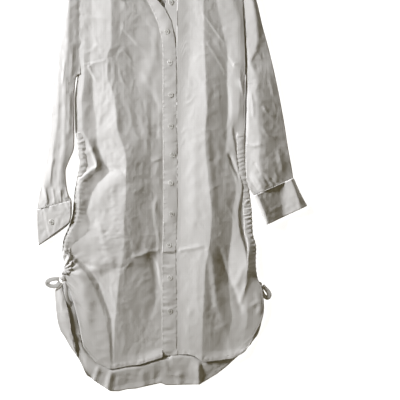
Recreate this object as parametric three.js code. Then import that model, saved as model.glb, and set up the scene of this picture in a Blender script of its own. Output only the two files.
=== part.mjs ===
// A long-sleeved shirt dress in washed linen, laid out flat on its back with its front up.
// Millimetres. The pattern's own frame has X across from the centre front towards the wearer's
// left, Y up from the lowest point of the back hem towards the neck, and Z above the surface.
// At the end the whole dress is moved so that the origin is the bottom centre of its box.
import * as THREE from "three";

// Driving dimensions.
const clothWall = 1.5; // one layer of body or sleeve cloth
const bandWall = 1.2; // front bands, pressed flat
const collarWall = 1.6; // collar leaf and stand, two pressed layers
const seamGap = 0.5; // between pieces that are sewn together
const underarmY = 729;
const sideSlitY = 253; // where the side seams end and the slits begin
const casingTopY = 596;
const casingBottomY = 272;
const casingWidth = 19;
const gatherPitch = 16; // one gather of the casing to the next
const gatherDepth = 1.3;
const casingClear = 1; // a casing stands this far off the front it is sewn to
const tailWidth = 7; // tape where it hangs free, and a little less where it is looped
const loopWidth = 6.5;
const tapeWall = 2;
const flapUnder = 1.9; // the back's turned edge: its underside and its top
const flapTop = 3.3;
const foldInset = 2; // wall across the folded edges of a flattened sleeve
const leafClear = 1.2; // collar leaf above the cloth below it
const buttonRadius = 6;
const buttonWall = 2.2;

const linen = { color: 0xe9e5de, roughness: 0.86, metalness: 0 };
const buttonShell = { color: 0xe4e0d4, roughness: 0.35, metalness: 0 };

const dress = new THREE.Group();

// ---------------------------------------------------------------- helpers

const lerp = THREE.MathUtils.lerp;
const clamp = THREE.MathUtils.clamp;
const smooth = (f) => f * f * (3 - 2 * f);

// A short table with named columns becomes a list of rows.
function table(columns, rows) {
  const names = columns.split(" ");
  return rows.map((row) => Object.fromEntries(names.map((name, i) => [name, row[i]])));
}

// The value of one column where another has the value at, straight between the rows.
function valueAt(rows, column, at, along = "y") {
  const rising = rows[rows.length - 1][along] > rows[0][along];
  const ordered = rising ? rows : [...rows].reverse();
  if (at <= ordered[0][along]) return ordered[0][column];
  for (let i = 1; i < ordered.length; i++) {
    const low = ordered[i - 1];
    const high = ordered[i];
    if (at > high[along]) continue;
    return lerp(low[column], high[column], (at - low[along]) / (high[along] - low[along]));
  }
  return ordered[ordered.length - 1][column];
}

// A mesh from points and triangles. Triangles that have shrunk to nothing are left out.
function addMesh(name, points, triangles, finish) {
  const key = (p) => p.map((c) => Math.round(c * 1e4)).join(" ");
  const seen = new Map();
  const kept = [];
  const index = points.map((p) => {
    const k = key(p);
    if (!seen.has(k)) {
      seen.set(k, kept.length);
      kept.push(p);
    }
    return seen.get(k);
  });
  const faces = triangles
    .map((t) => t.map((i) => index[i]))
    .filter(([a, b, c]) => a !== b && b !== c && c !== a);
  const geometry = new THREE.BufferGeometry();
  geometry.setAttribute("position", new THREE.Float32BufferAttribute(kept.flat(), 3));
  geometry.setIndex(faces.flat());
  geometry.computeVertexNormals();
  const mesh = new THREE.Mesh(geometry, new THREE.MeshStandardMaterial(finish));
  mesh.name = name;
  dress.add(mesh);
}

// A wall between two grids of points with the same rows and columns.
function addWall(name, lower, upper, finish) {
  const rows = lower.length;
  const columns = lower[0].length;
  const under = (j, i) => j * columns + i;
  const over = (j, i) => rows * columns + j * columns + i;
  const triangles = [];
  const quad = (a, b, c, d) => triangles.push([a, b, c], [a, c, d]);
  for (let j = 0; j + 1 < rows; j++)
    for (let i = 0; i + 1 < columns; i++) {
      quad(over(j, i), over(j, i + 1), over(j + 1, i + 1), over(j + 1, i));
      quad(under(j, i), under(j + 1, i), under(j + 1, i + 1), under(j, i + 1));
    }
  const right = columns - 1;
  const top = rows - 1;
  for (let j = 0; j < top; j++) {
    quad(under(j, 0), over(j, 0), over(j + 1, 0), under(j + 1, 0));
    quad(under(j, right), under(j + 1, right), over(j + 1, right), over(j, right));
  }
  for (let i = 0; i < right; i++) {
    quad(under(0, i), under(0, i + 1), over(0, i + 1), over(0, i));
    quad(under(top, i), over(top, i), over(top, i + 1), under(top, i + 1));
  }
  addMesh(name, [...lower.flat(), ...upper.flat()], triangles, finish);
}

const raised = (grid, by) => grid.map((row) => row.map(([x, y, z]) => [x, y, z + by]));

// A closed skin through rings that wrap round both ways, which makes a tube with a wall.
function addTubeWall(name, rings, finish) {
  const count = rings.length;
  const around = rings[0].length;
  const triangles = [];
  for (let j = 0; j < count; j++)
    for (let i = 0; i < around; i++) {
      const a = j * around + i;
      const b = j * around + ((i + 1) % around);
      const c = ((j + 1) % count) * around + ((i + 1) % around);
      const d = ((j + 1) % count) * around + i;
      triangles.push([a, b, c], [a, c, d]);
    }
  addMesh(name, rings.flat(), triangles, finish);
}

// The height of a grid's surface under a point, or undefined beside it.
function heightOn(grid, x, y) {
  const inside = (a, b, c) => {
    const area = (b[0] - a[0]) * (c[1] - a[1]) - (c[0] - a[0]) * (b[1] - a[1]);
    if (Math.abs(area) < 1e-9) return undefined;
    const u = ((b[0] - x) * (c[1] - y) - (c[0] - x) * (b[1] - y)) / area;
    const v = ((c[0] - x) * (a[1] - y) - (a[0] - x) * (c[1] - y)) / area;
    const w = 1 - u - v;
    return Math.min(u, v, w) < -1e-6 ? undefined : u * a[2] + v * b[2] + w * c[2];
  };
  for (let j = 0; j + 1 < grid.length; j++)
    for (let i = 0; i + 1 < grid[j].length; i++) {
      const [a, b] = [grid[j][i], grid[j][i + 1]];
      const [d, c] = [grid[j + 1][i], grid[j + 1][i + 1]];
      const found = inside(a, b, c) ?? inside(a, c, d);
      if (found !== undefined) return found;
    }
  return undefined;
}

// ---------------------------------------------------------------- edges of the front bands

// The buttonhole band is sewn to the right front and lies over the button band of the left
// front. Above the highest fastened button it turns back with the open neck.
const bandRows = table("outerX outerY freeX freeY z", [
  [-18, 83, 16, 85, 5],
  [-18, 150, 16, 150, 5],
  [-18, 212, 16, 212, 5],
  [-18, 322, 13.5, 322, 5],
  [-16, 350, 15, 350, 5],
  [-14, 442, 17.5, 442, 5],
  [-15, 534, 17.5, 534, 5],
  [-16, 600, 16, 600, 5],
  [-16, 672, 16, 672, 5],
  [-16, 730, 15.5, 730, 5],
  [-16, 787, 14, 791, 5],
  [-19, 812, 11, 817, 5.5],
  [-26, 844, 4, 851, 6.5],
  [-38, 873, -11, 880, 7.2],
  [-53, 902, -30, 902, 8],
  [-64, 925, -39, 922, 8],
  [-75, 948, -47, 943, 8],
]);
const standRows = table("freeX seamX y z", [
  [-14, 16, 88, 3.4],
  [-14, 15, 322, 3.4],
  [-13, 18, 442, 3.4],
  [-12, 18, 534, 3.4],
  [-13, 16, 672, 3.4],
  [-14, 16, 791, 3.4],
  [-14, 17, 845, 3.4],
  [-14, 17.6, 879, 3.4],
  [-7, 18, 902, 3.4],
  [-9, 21, 943, 3.4],
]);

// ---------------------------------------------------------------- fronts

// Fold lines run up each front. A row gives, at one height up the dress, where each line lies
// across it (X) and how high the underside of the cloth is there (Z).
const frontRightFolds = table(
  "y sideX sideZ ribX ribZ gullyX gullyZ crestX crestZ footX footZ shelfX shelfZ seamZ",
  [
    [1005, -202, 5, -184, 6, -166, 6, -122, 8, -110, 6, -92, 7, 6.5],
    [948, -203.5, 5, -188, 7, -172, 8, -130, 13, -116, 8, -90, 7.5, 8],
    [902, -205, 6, -193, 8, -179, 9, -133, 16, -120, 9, -69, 8, 8],
    [844, -206, 6, -195, 8, -182, 9, -133, 18, -120, 9, -51, 8, 6.5],
    [787, -207, 6, -198, 9, -184, 8, -132, 19, -120, 8, -41, 7, 5],
    [759, -208, 4, -200, 9, -189, 6, -143, 20, -129, 9, -41, 8, 5],
    [729, -209, 3, -202, 9, -186, 5, -140, 20, -129, 11, -41, 9, 5],
    [672, -218, 1.9, -207, 10, -182, 4, -131, 20, -117, 13, -41, 9, 5],
    [603, -216, 1.9, -207, 9, -179, 5, -118, 22, -101, 17, -39, 8, 5],
    [534, -216, 1.9, -202, 8, -172, 5, -99, 24, -80, 19, -37, 7, 5],
    [465, -218, 1.9, -198, 9, -168, 6, -100, 24, -78, 18, -37, 7, 5],
    [407, -217, 1.9, -200, 10, -179, 7, -101, 24, -78, 18, -37, 7, 5],
    [385, -224, 1.9, -204, 10, -182, 7, -101, 24, -78, 18, -38, 7, 5],
    [350, -244, 1.9, -209, 9, -189, 8, -101, 24, -78, 18, -41, 7, 5],
    [292, -241, 1.9, -216, 12, -179, 7, -106, 23, -83, 18, -44, 7, 5],
    [235, -229, 5, -168, 15, -154, 9, -115, 19, -92, 15, -46, 7, 5],
    [166, -214, 5, -143, 14, -133, 9, -122, 14, -99, 11, -46, 6.5, 5],
    [108, -200, 4, -136, 10, -131, 8, -125, 9, -103, 8, -46, 5.5, 5],
    [46, -179, 3, -133, 6, -129, 5, -122, 5.5, -101, 5, -46, 5, 5],
  ],
);
const frontLeftFolds = table(
  "y seamZ dipX dipZ crestX crestZ valleyX valleyZ foldX foldZ sideX sideZ",
  [
    [1005, 5, 48, 5, 66, 10, 90, 7, 130, 7, 162.5, 5],
    [943, 3.4, 31, 4, 70, 12, 100, 8, 140, 10, 165, 5],
    [902, 3.4, 32, 4, 76, 15, 115, 8, 152, 13, 166.7, 6],
    [833, 3.4, 30, 3.6, 76, 17, 120, 7, 157, 14, 169.4, 6],
    [764, 3.4, 25, 3.4, 82, 19, 129, 6, 152, 10, 172.2, 5],
    [718, 3.4, 25, 3.4, 85, 20, 129, 6, 150, 11, 174, 3],
    [649, 3.4, 25, 3.4, 90, 20, 136, 6, 154, 10, 168, 1.9],
    [591, 3.4, 25, 3.4, 83, 20, 136, 6, 154, 9, 168, 1.9],
    [511, 3.4, 26, 3.4, 86, 20, 143, 5, 156, 8, 170, 1.9],
    [442, 3.4, 28, 3.4, 89, 20, 150, 5, 163, 8, 181, 1.9],
    [407, 3.4, 25, 3.4, 90, 20, 150, 5, 168, 8, 189, 1.9],
    [350, 3.4, 23, 3.4, 85, 20, 117, 8, 175, 15, 191, 1.9],
    [299, 3.4, 23, 3.4, 80, 19, 120, 6, 177, 16, 198, 2.4],
    [235, 3.4, 25, 3.4, 78, 18, 129, 5, 166, 12, 213, 7.5],
    [175, 3.4, 25, 3.4, 76, 16, 138, 4, 175, 10, 215, 5],
    [120, 3.4, 25, 3.4, 74, 12, 129, 4, 165, 6, 188, 4],
    [62, 3.4, 28, 3.4, 74, 6, 120, 4, 150, 4, 175, 3.6],
  ],
);
// How many columns of cloth lie between one fold line and the next.
const frontRightLines = [
  { line: "side", columns: 3 },
  { line: "rib", columns: 1 },
  { line: "gully", columns: 3 },
  { line: "crest", columns: 1 },
  { line: "foot", columns: 3 },
  { line: "shelf", columns: 1 },
  { line: "seam", columns: 0 },
];
const frontLeftLines = [
  { line: "seam", columns: 1 },
  { line: "dip", columns: 3 },
  { line: "crest", columns: 3 },
  { line: "valley", columns: 2 },
  { line: "fold", columns: 2 },
  { line: "side", columns: 0 },
];
// The cut edges, as height up the dress against place across it.
const frontRightHem = table("x y", [
  [-199, 103], [-186, 85], [-168, 67], [-136, 53], [-98, 60], [-69, 64], [-25, 78], [-18, 80],
]);
const frontRightTop = table("x y", [[-202, 960], [-99, 994], [-90, 973], [-75, 945]]);
const frontLeftHem = table("x y", [
  [16, 87], [44, 87], [57, 83], [69, 75], [78, 70], [113, 74], [143, 78], [163, 87], [176, 97],
]);
const frontLeftTop = table("x y", [[21, 943], [31, 968], [39, 994], [163, 966]]);
const panelRows = 22;
const shoulderReach = 45; // the folds flatten out over this length below the shoulder seam
const seamLift = 1.9; // underside of a front where it is sewn to the back

// One front: its columns follow the fold lines and its rows share out each column's length.
function frontPanel(folds, lines, hem, top, shoulder, seamAt) {
  const columns = [];
  lines.forEach(({ line, columns: count }, k) => {
    for (let i = 0; i < count; i++)
      columns.push({ from: line, to: lines[k + 1].line, f: i / count });
  });
  const last = lines[lines.length - 1].line;
  columns.push({ from: last, to: last, f: 0 });
  const lineAt = (line, y) => (line === "seam" ? seamAt(y) : valueAt(folds, line + "X", y));
  const across = ({ from, to, f }, y) => lerp(lineAt(from, y), lineAt(to, y), f);
  const height = ({ from, to, f }, y) =>
    lerp(valueAt(folds, from + "Z", y), valueAt(folds, to + "Z", y), (f + smooth(f)) / 2);
  const edgeOf = (column, edge, start) => {
    let y = start;
    for (let turn = 0; turn < 12; turn++) y = valueAt(edge, "y", across(column, y), "x");
    return y;
  };
  const grid = [];
  for (let j = 0; j <= panelRows; j++)
    grid.push(
      columns.map((column) => {
        const y = lerp(edgeOf(column, hem, 90), edgeOf(column, top, 960), j / panelRows);
        const x = across(column, y);
        const below = valueAt(shoulder, "y", x, "x") - y;
        const fold = smooth(clamp(below / shoulderReach, 0, 1));
        return [x, y, lerp(seamLift, height(column, y), fold)];
      }),
    );
  return grid;
}

const shoulderRight = table("x y", [[-202, 960], [-99, 994]]);
const shoulderLeft = table("x y", [[39, 994], [163, 966]]);
const frontRight = frontPanel(
  frontRightFolds, frontRightLines, frontRightHem, frontRightTop, shoulderRight,
  (y) => valueAt(bandRows, "outerX", y, "outerY") - seamGap,
);
const frontLeft = frontPanel(
  frontLeftFolds, frontLeftLines, frontLeftHem, frontLeftTop, shoulderLeft,
  (y) => valueAt(standRows, "seamX", y) + seamGap,
);
addWall("front_right", frontRight, raised(frontRight, clothWall), linen);
addWall("front_left", frontLeft, raised(frontLeft, clothWall), linen);

// ---------------------------------------------------------------- bands at the centre front

const buttonholeBand = bandRows.map((r) =>
  [0, 0.5, 1].map((f) => [lerp(r.outerX, r.freeX, f), lerp(r.outerY, r.freeY, f), r.z]),
);
const buttonBand = standRows.map((r) =>
  [0, 0.5, 1].map((f) => [lerp(r.freeX, r.seamX, f), r.y, r.z]),
);
addWall("placket_right", buttonholeBand, raised(buttonholeBand, bandWall), linen);
addWall("placket_left", buttonBand, raised(buttonBand, bandWall), linen);

// ---------------------------------------------------------------- back

// The back lies flat on the surface. Below the slit its right-hand edge is turned forward.
const backSides = table("y leftX rightX", [
  [1005, -201, 162],
  [902, -204, 165.5],
  [underarmY, -208, 173],
  [672, -216, 167.5],
  [534, -214, 168],
  [465, -216, 177],
  [407, -215, 187],
  [350, -240, 189],
  [292, -240, 196],
  [sideSlitY, -248, 203],
  [230, -264, 207],
  [200, -262, 211],
  [168, -258, 211],
  [143, -251, 206],
  [131, -243, 201],
  [108, -230, 186],
  [80, -212, 186],
]);
const backHem = table("x y", [
  [-212, 80], [-191, 39], [-162, 18], [-136, 2], [-118, 2], [-98, 7], [-80, 8], [-21, 21],
  [-9, 16], [69, 18], [107, 41], [128, 57], [151, 78], [186, 110],
]);
const backTop = table("x y", [[-201, 960], [-99, 994], [-60, 989], [0, 989], [39, 994], [162, 966]]);
const backAcross = [
  0, 0.05, 0.1, 0.156, 0.176, 0.2, 0.27, 0.36, 0.46, 0.56, 0.658, 0.706, 0.74, 0.8, 0.87, 0.94, 1,
];
const backUp = [
  0, 0.02, 0.04, 0.06, 0.08, 0.1, 0.13, 0.16, 0.196, 0.25, 0.33, 0.42, 0.55, 0.673, 0.737, 0.85, 1,
];
// Creases that lift the back's hem where the fronts don't cover it. They start a little below
// the fronts' hem and reach their full rise further down.
const backCreases = table("x rise left right", [
  [-142, 5, 10, 12],
  [69, 6, 22, 14],
]);
// The turned edge: where it ends, measured in from the fold.
const turnedEdge = table("y width", [
  [sideSlitY, 0],
  [230, 20],
  [212, 24],
  [177, 30],
  [154, 29],
  [108, 13],
  [80, 0],
]);
const creaseStart = 6;
const creaseRun = 26;
const backAtX = (x, y) => {
  const frontEdge = x < 0 ? valueAt(frontRightHem, "y", x, "x") : valueAt(frontLeftHem, "y", x, "x");
  const clear = smooth(clamp((frontEdge - creaseStart - y) / creaseRun, 0, 1));
  const lift = backCreases.reduce((most, crease) => {
    const reach = x < crease.x ? crease.left : crease.right;
    return Math.max(most, crease.rise * Math.max(0, 1 - Math.abs(x - crease.x) / reach));
  }, 0);
  return lift * clear;
};
const backLower = [];
const backUpper = [];
for (const v of backUp) {
  const point = (u) => {
    const across = (y) => lerp(valueAt(backSides, "leftX", y), valueAt(backSides, "rightX", y), u);
    let low = 60;
    let high = 960;
    for (let turn = 0; turn < 12; turn++) {
      low = valueAt(backHem, "y", across(low), "x");
      high = valueAt(backTop, "y", across(high), "x");
    }
    const y = lerp(low, high, v);
    return [across(y), y, backAtX(across(y), y)];
  };
  const base = backAcross.map(point);
  const [x, y] = base[0];
  const width = valueAt(turnedEdge, "width", y);
  // Outside and inside of the cloth round the fold, from the turned edge to the fold.
  const turned = width > 1 && y < sideSlitY && y > 80;
  const outside = turned
    ? [[x + width, y, flapTop], [x + 0.3, y, flapTop], [x - 1.2, y, flapTop / 2]]
    : [0, 1, 2].map(() => [x, y, 0]);
  const inside = turned
    ? [[x + width, y, flapUnder], [x + 1.6, y, flapUnder], [x + 0.9, y, flapUnder - 0.2]]
    : [0, 1, 2].map(() => [x, y, clothWall]);
  backLower.push([...outside, ...base]);
  backUpper.push([...inside, ...raised([base], clothWall)[0]]);
}
addWall("back_panel", backLower, backUpper, linen);

// ---------------------------------------------------------------- sleeves and cuffs

// A sleeve is a flattened tube. Each row is one section: where its outer and inner edges lie,
// and the ridge and dip of its top, as shares of the way across.
const sectionColumns = "outerX outerY innerX innerY ridgeAt ridgeZ dipAt dipZ baseZ";
const sleeveRight = table(sectionColumns, [
  [-203.8, 963, -210, underarmY, 0.5, 10, 0.8, 7, 0],
  [-225, 925, -213, 727, 0.45, 12, 0.8, 6, 0],
  [-248, 856, -216, 722, 0.45, 14, 0.85, 6, 0],
  [-260, 791, -219, 704, 0.45, 15, 0.85, 6, 0],
  [-266, 729, -223, 672, 0.45, 15, 0.85, 6, 0],
  [-270, 660, -222, 628, 0.5, 14, 0.85, 6, 0],
  [-276, 584, -224, 564, 0.5, 13, 0.8, 6, 0],
  [-288, 511, -240, 506, 0.45, 12, 0.8, 7, 0],
  [-301, 448, -235, 458, 0.4, 11, 0.75, 7, 0],
  [-306, 420, -227, 441, 0.4, 10, 0.75, 7, 0],
]);
const cuffRight = table(sectionColumns, [
  [-307, 419.1, -225.5, 440.8, 0.4, 11, 0.75, 9, 0],
  [-306, 382, -225, 416, 0.4, 10.5, 0.75, 9, 0],
  [-302, 336, -230, 391, 0.4, 10, 0.75, 8.5, 0],
]);
const sleeveLeft = table(sectionColumns, [
  [164.6, 969, 174.2, 731, 0.5, 10, 0.75, 7, 0],
  [180, 943, 178, underarmY, 0.55, 12, 0.8, 7, 0],
  [198, 902, 181, 724, 0.6, 14, 0.85, 7, 0],
  [214, 837, 184, 708, 0.65, 15, 0.9, 6, 0],
  [230, 775, 184, 683, 0.65, 15, 0.9, 6, 0],
  [246, 704, 183, 653, 0.7, 16, 0.9, 7, 0],
  [260, 637, 179, 603, 0.75, 16, 0.9, 8, 0],
  [271, 561, 175.5, 534, 0.75, 15, 0.9, 8, 0],
  [279, 515, 177.5, 483, 0.75, 14, 0.9, 8, 1.6],
  [283, 492, 192, 452, 0.75, 13, 0.9, 8, 2.7],
]);
const cuffLeft = table(sectionColumns, [
  [284, 491.7, 192.6, 451.5, 0.7, 13, 0.9, 8, 2.7],
  [298, 460, 207, 416, 0.65, 12, 0.9, 8, 2.7],
  [315, 428, 221, 384, 0.6, 10, 0.9, 7, 2.7],
]);
const edgeHeight = 4; // of a flattened tube, at the fold along each edge

const bottomAt = [0, 0.25, 0.5, 0.75, 1];

// One section as an outer and an inner ring: along the bottom, then back over the top.
function sectionRings(row, wall) {
  const topAt = [1, (1 + row.dipAt) / 2, row.dipAt, (row.dipAt + row.ridgeAt) / 2, row.ridgeAt];
  topAt.push(row.ridgeAt * 0.66, row.ridgeAt * 0.33, 0);
  const topHeight = (t) => {
    if (t <= row.ridgeAt) return lerp(edgeHeight, row.ridgeZ, Math.sin((t / row.ridgeAt) * Math.PI * 0.5));
    if (t <= row.dipAt)
      return lerp(row.ridgeZ, row.dipZ, smooth((t - row.ridgeAt) / (row.dipAt - row.ridgeAt)));
    return lerp(row.dipZ, edgeHeight, (t - row.dipAt) / (1 - row.dipAt));
  };
  const length = Math.hypot(row.innerX - row.outerX, row.innerY - row.outerY);
  const ring = (inset, lift) => {
    const place = (t, z) => {
      const f = clamp(t, inset / length, 1 - inset / length);
      return [lerp(row.outerX, row.innerX, f), lerp(row.outerY, row.innerY, f), z];
    };
    return [
      ...bottomAt.map((t) => place(t, row.baseZ + lift)),
      ...topAt.map((t) => place(t, row.baseZ + topHeight(t) - lift)),
    ];
  };
  return { outside: ring(0, 0), inside: ring(foldInset, wall) };
}

function addSleeve(name, rows, mirrored) {
  const sections = rows.map((row) => sectionRings(row, clothWall));
  const rings = [
    ...sections.map((s) => s.outside),
    ...[...sections].reverse().map((s) => s.inside),
  ];
  if (mirrored) rings.forEach((ring) => ring.reverse());
  addTubeWall(name, rings, linen);
  return sections.map((s) => s.outside.slice(bottomAt.length));
}

addSleeve("sleeve_right", sleeveRight, false);
const cuffRightTop = addSleeve("cuff_right", cuffRight, false);
addSleeve("sleeve_left", sleeveLeft, true);
addSleeve("cuff_left", cuffLeft, true);

// ---------------------------------------------------------------- drawstring casings

// A gathered channel over each side seam, made from the front's own points moved out.
function addCasing(name, panel, inward) {
  const edgePoints = panel.map((row) => {
    const [x, y] = row[inward > 0 ? 0 : row.length - 1];
    return { x, y };
  });
  const steps = Math.round((casingTopY - casingBottomY) / gatherPitch) * 2;
  const inset = [2, 6.5, 11, 15, casingWidth];
  const lower = [];
  for (let j = 0; j <= steps; j++) {
    const y = lerp(casingBottomY, casingTopY, j / steps);
    const edge = valueAt(edgePoints, "x", y);
    const gather = gatherDepth * (j % 2);
    const row = inset.map((by) => {
      const x = edge + inward * by;
      return [x, y, heightOn(panel, x, y) + clothWall + casingClear + gather];
    });
    lower.push(inward > 0 ? row : row.reverse());
  }
  addWall(name, lower, raised(lower, clothWall), linen);
}

addCasing("casing_right", frontRight, 1);
addCasing("casing_left", frontLeft, -1);

// ---------------------------------------------------------------- ties

// A flat tape along a route: its width stays level unless the row turns it on edge.
function addTape(name, route, width) {
  const points = route.map((r) => new THREE.Vector3(r.x, r.y, r.z));
  const curve = new THREE.CatmullRomCurve3(points, false, "centripetal");
  const steps = (route.length - 1) * 2;
  const rings = [];
  for (let j = 0; j <= steps; j++) {
    const at = curve.getPoint(j / steps);
    const along = curve.getTangent(j / steps);
    const side = new THREE.Vector3(-along.y, along.x, 0).normalize();
    const up = new THREE.Vector3().crossVectors(along, side).normalize();
    rings.push(
      [0, 1, 2, 3, 4, 5, 6, 7].map((k) => {
        const turn = (k / 8) * 2 * Math.PI;
        const p = at.clone();
        p.addScaledVector(side, (width / 2) * Math.cos(turn));
        p.addScaledVector(up, (tapeWall / 2) * Math.sin(turn));
        return p.toArray();
      }),
    );
  }
  const triangles = [];
  for (let j = 0; j < steps; j++)
    for (let k = 0; k < 8; k++) {
      const [a, b] = [j * 8 + k, j * 8 + ((k + 1) % 8)];
      triangles.push([a, b, b + 8], [a, b + 8, a + 8]);
    }
  for (let k = 1; k < 7; k++) {
    triangles.push([0, k + 1, k]);
    triangles.push([steps * 8, steps * 8 + k, steps * 8 + k + 1]);
  }
  addMesh(name, rings.flat(), triangles, linen);
}

const loopRight = table("x y z", [
  [-253.6, 264, 9],
  [-262, 263, 9],
  [-274, 260, 8.5],
  [-280, 251, 8],
  [-277, 242, 7.5],
  [-267, 239, 7.5],
  [-259, 246, 8],
  [-252.8, 255.4, 8.2],
]);
const tailRight = table("x y z", [
  [-243.2, 254, 5.4],
  [-239.5, 240, 3.6],
  [-236.5, 224, 3],
  [-231, 205, 3],
  [-225, 188, 3],
  [-220, 170, 3],
  [-217, 152, 3],
]);
const loopLeft = table("x y z", [
  [212.4, 245, 4.2],
  [221, 238, 3.6],
  [228, 229, 3.4],
  [228, 220, 3.4],
  [221, 216, 3.4],
  [213, 221, 3.4],
  [207.6, 230, 3.6],
  [205.6, 239.6, 4],
]);
const tailLeft = table("x y z", [
  [198, 240.4, 4],
  [197, 228, 3.2],
  [194, 214, 3],
  [192, 200, 3],
  [191, 186, 3],
  [190, 172, 3],
]);
addTape("tie_right_loop", loopRight, loopWidth);
addTape("tie_right_tail", tailRight, tailWidth);
addTape("tie_left_loop", loopLeft, loopWidth);
addTape("tie_left_tail", tailLeft, tailWidth);

// A knot where the drawstring leaves its casing.
function addKnot(name, centre, radii) {
  const geometry = new THREE.SphereGeometry(1, 12, 8);
  geometry.rotateX(Math.PI / 2);
  geometry.scale(...radii);
  const mesh = new THREE.Mesh(geometry, new THREE.MeshStandardMaterial(linen));
  mesh.name = name;
  mesh.position.set(...centre);
  dress.add(mesh);
}

addKnot("tie_right_knot", [-244.6, 263.2, 7.2], [8.4, 8.2, 5]);
addKnot("tie_left_knot", [203.5, 247, 3.8], [8.4, 7, 2.1]);

// ---------------------------------------------------------------- collar

// Stations round the neck, from the end of the right front's stand to the end of the left
// front's. The stand rises from its base to its top, and the leaf folds from there outwards.
const collarStations = table(
  "baseX baseY baseZ topX topY topZ edgeX edgeY edgeLift",
  [
    [-51, 941, 9.8, -55, 958, 21, -124, 905, 0.8],
    [-74, 944, 10.2, -72, 962, 27, -146, 940, 0.8],
    [-96, 989, 4.4, -88, 984, 32, -138, 990, 3.4],
    [-62, 987, 2, -60, 984, 31, -78, 1009, 2.5],
    [-30, 986, 2, -30, 983, 31, -30, 1013, 2.5],
    [2, 987, 2, 0, 984, 31, 18, 1009, 2.5],
    [36, 989, 4.4, 28, 984, 31, 78, 990, 3.4],
    [22, 947, 5.6, 14, 960, 25, 90, 938, 2.4],
    [-6, 940, 5.2, -2, 957, 17, 51, 905, 2.4],
  ],
);
const stationSteps = 3;

function alongCollar(columns) {
  const points = collarStations.map((r) => new THREE.Vector3(...columns.map((c) => r[c] ?? 0)));
  const curve = new THREE.CatmullRomCurve3(points, false, "centripetal");
  const count = (points.length - 1) * stationSteps;
  return Array.from({ length: count + 1 }, (_, k) => curve.getPoint(k / count));
}

const standBase = alongCollar(["baseX", "baseY", "baseZ"]);
const standTop = alongCollar(["topX", "topY", "topZ"]);
const leafEdge = alongCollar(["edgeX", "edgeY", "edgeLift"]);
const surfaceAt = (x, y) =>
  Math.max(
    ...[frontRight, frontLeft, buttonholeBand, buttonBand].map((g) => heightOn(g, x, y) ?? 0),
  ) + clothWall;
const mouthCentre = new THREE.Vector3(-30, 966, 0);

// The stand: its wall lies on the inside of the line from base to top.
const standRow = (f, inset) =>
  standBase.map((base, k) => {
    const p = base.clone().lerp(standTop[k], f);
    const inwards = mouthCentre.clone().sub(p).setZ(0).normalize();
    return p.addScaledVector(inwards, inset).toArray();
  });
const standOuter = [0, 0.5, 1].map((f) => standRow(f, 0));
const standInner = [0, 0.5, 1].map((f) => standRow(f, collarWall));
addWall("collar_stand", standOuter, standInner, linen);

// The leaf: from the top of the stand out and down to its edge, clear of the cloth below.
const leafLower = [0, 0.08, 0.5, 1].map((f) =>
  standTop.map((top, k) => {
    const edge = leafEdge[k].clone();
    const seat = surfaceAt(edge.x, edge.y);
    edge.z += seat > clothWall ? seat : 0;
    const p = top.clone().lerp(edge, f);
    const drop = f > 0.2 ? 0 : 0.5;
    return [p.x, p.y, Math.max(p.z + drop, surfaceAt(p.x, p.y) + leafClear)];
  }),
);
addWall("collar_leaf", leafLower, raised(leafLower, collarWall), linen);

// ---------------------------------------------------------------- buttons

const buttonProfile = [
  [0, 0], [buttonRadius - 0.8, 0], [buttonRadius, 0.7], [buttonRadius, buttonWall - 0.6],
  [buttonRadius - 0.6, buttonWall], [buttonRadius - 1.6, buttonWall - 0.5], [0, buttonWall - 0.5],
];

function addButton(name, x, y, z) {
  const outline = buttonProfile.map(([r, h]) => new THREE.Vector2(r, h));
  const geometry = new THREE.LatheGeometry(outline, 14);
  geometry.rotateX(Math.PI / 2);
  const mesh = new THREE.Mesh(geometry, new THREE.MeshStandardMaterial(buttonShell));
  mesh.name = name;
  mesh.position.set(x, y, z);
  dress.add(mesh);
}

// The seat of a button: the highest point of the cloth under its rim.
function seatOn(grid, wall, x, y) {
  const rim = Array.from({ length: 9 }, (_, k) => {
    const turn = (k / 8) * 2 * Math.PI;
    const r = k === 8 ? 0 : buttonRadius;
    return heightOn(grid, x + r * Math.cos(turn), y + r * Math.sin(turn)) ?? 0;
  });
  return Math.max(...rim) + wall + 0.3;
}

const frontButtons = table("x y", [
  [0, 186], [0, 263], [-2, 338], [4, 410], [2, 481], [6, 545], [2, 611], [2, 683], [0, 757],
  [-7, 828],
]);
frontButtons.forEach(({ x, y }, i) =>
  addButton(`button_front_${i + 1}`, x, y, seatOn(buttonholeBand, bandWall, x, y)),
);
addButton("button_neck", 2, 895, seatOn(buttonBand, bandWall, 2, 895));
addButton("button_cuff_right", -272, 391, seatOn(cuffRightTop, 0, -272, 391));
addButton("button_cuff_left", 250, 440, 0.1);

// ---------------------------------------------------------------- placing

const box = new THREE.Box3().setFromObject(dress);
const middle = box.getCenter(new THREE.Vector3());
dress.position.set(-middle.x, -middle.y, -box.min.z);

const part = new THREE.Group();
part.add(dress);

export default part;
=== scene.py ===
# A long-sleeved shirt dress in washed linen, laid out flat on its back: the finish of every
# piece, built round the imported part.
import math

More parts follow.
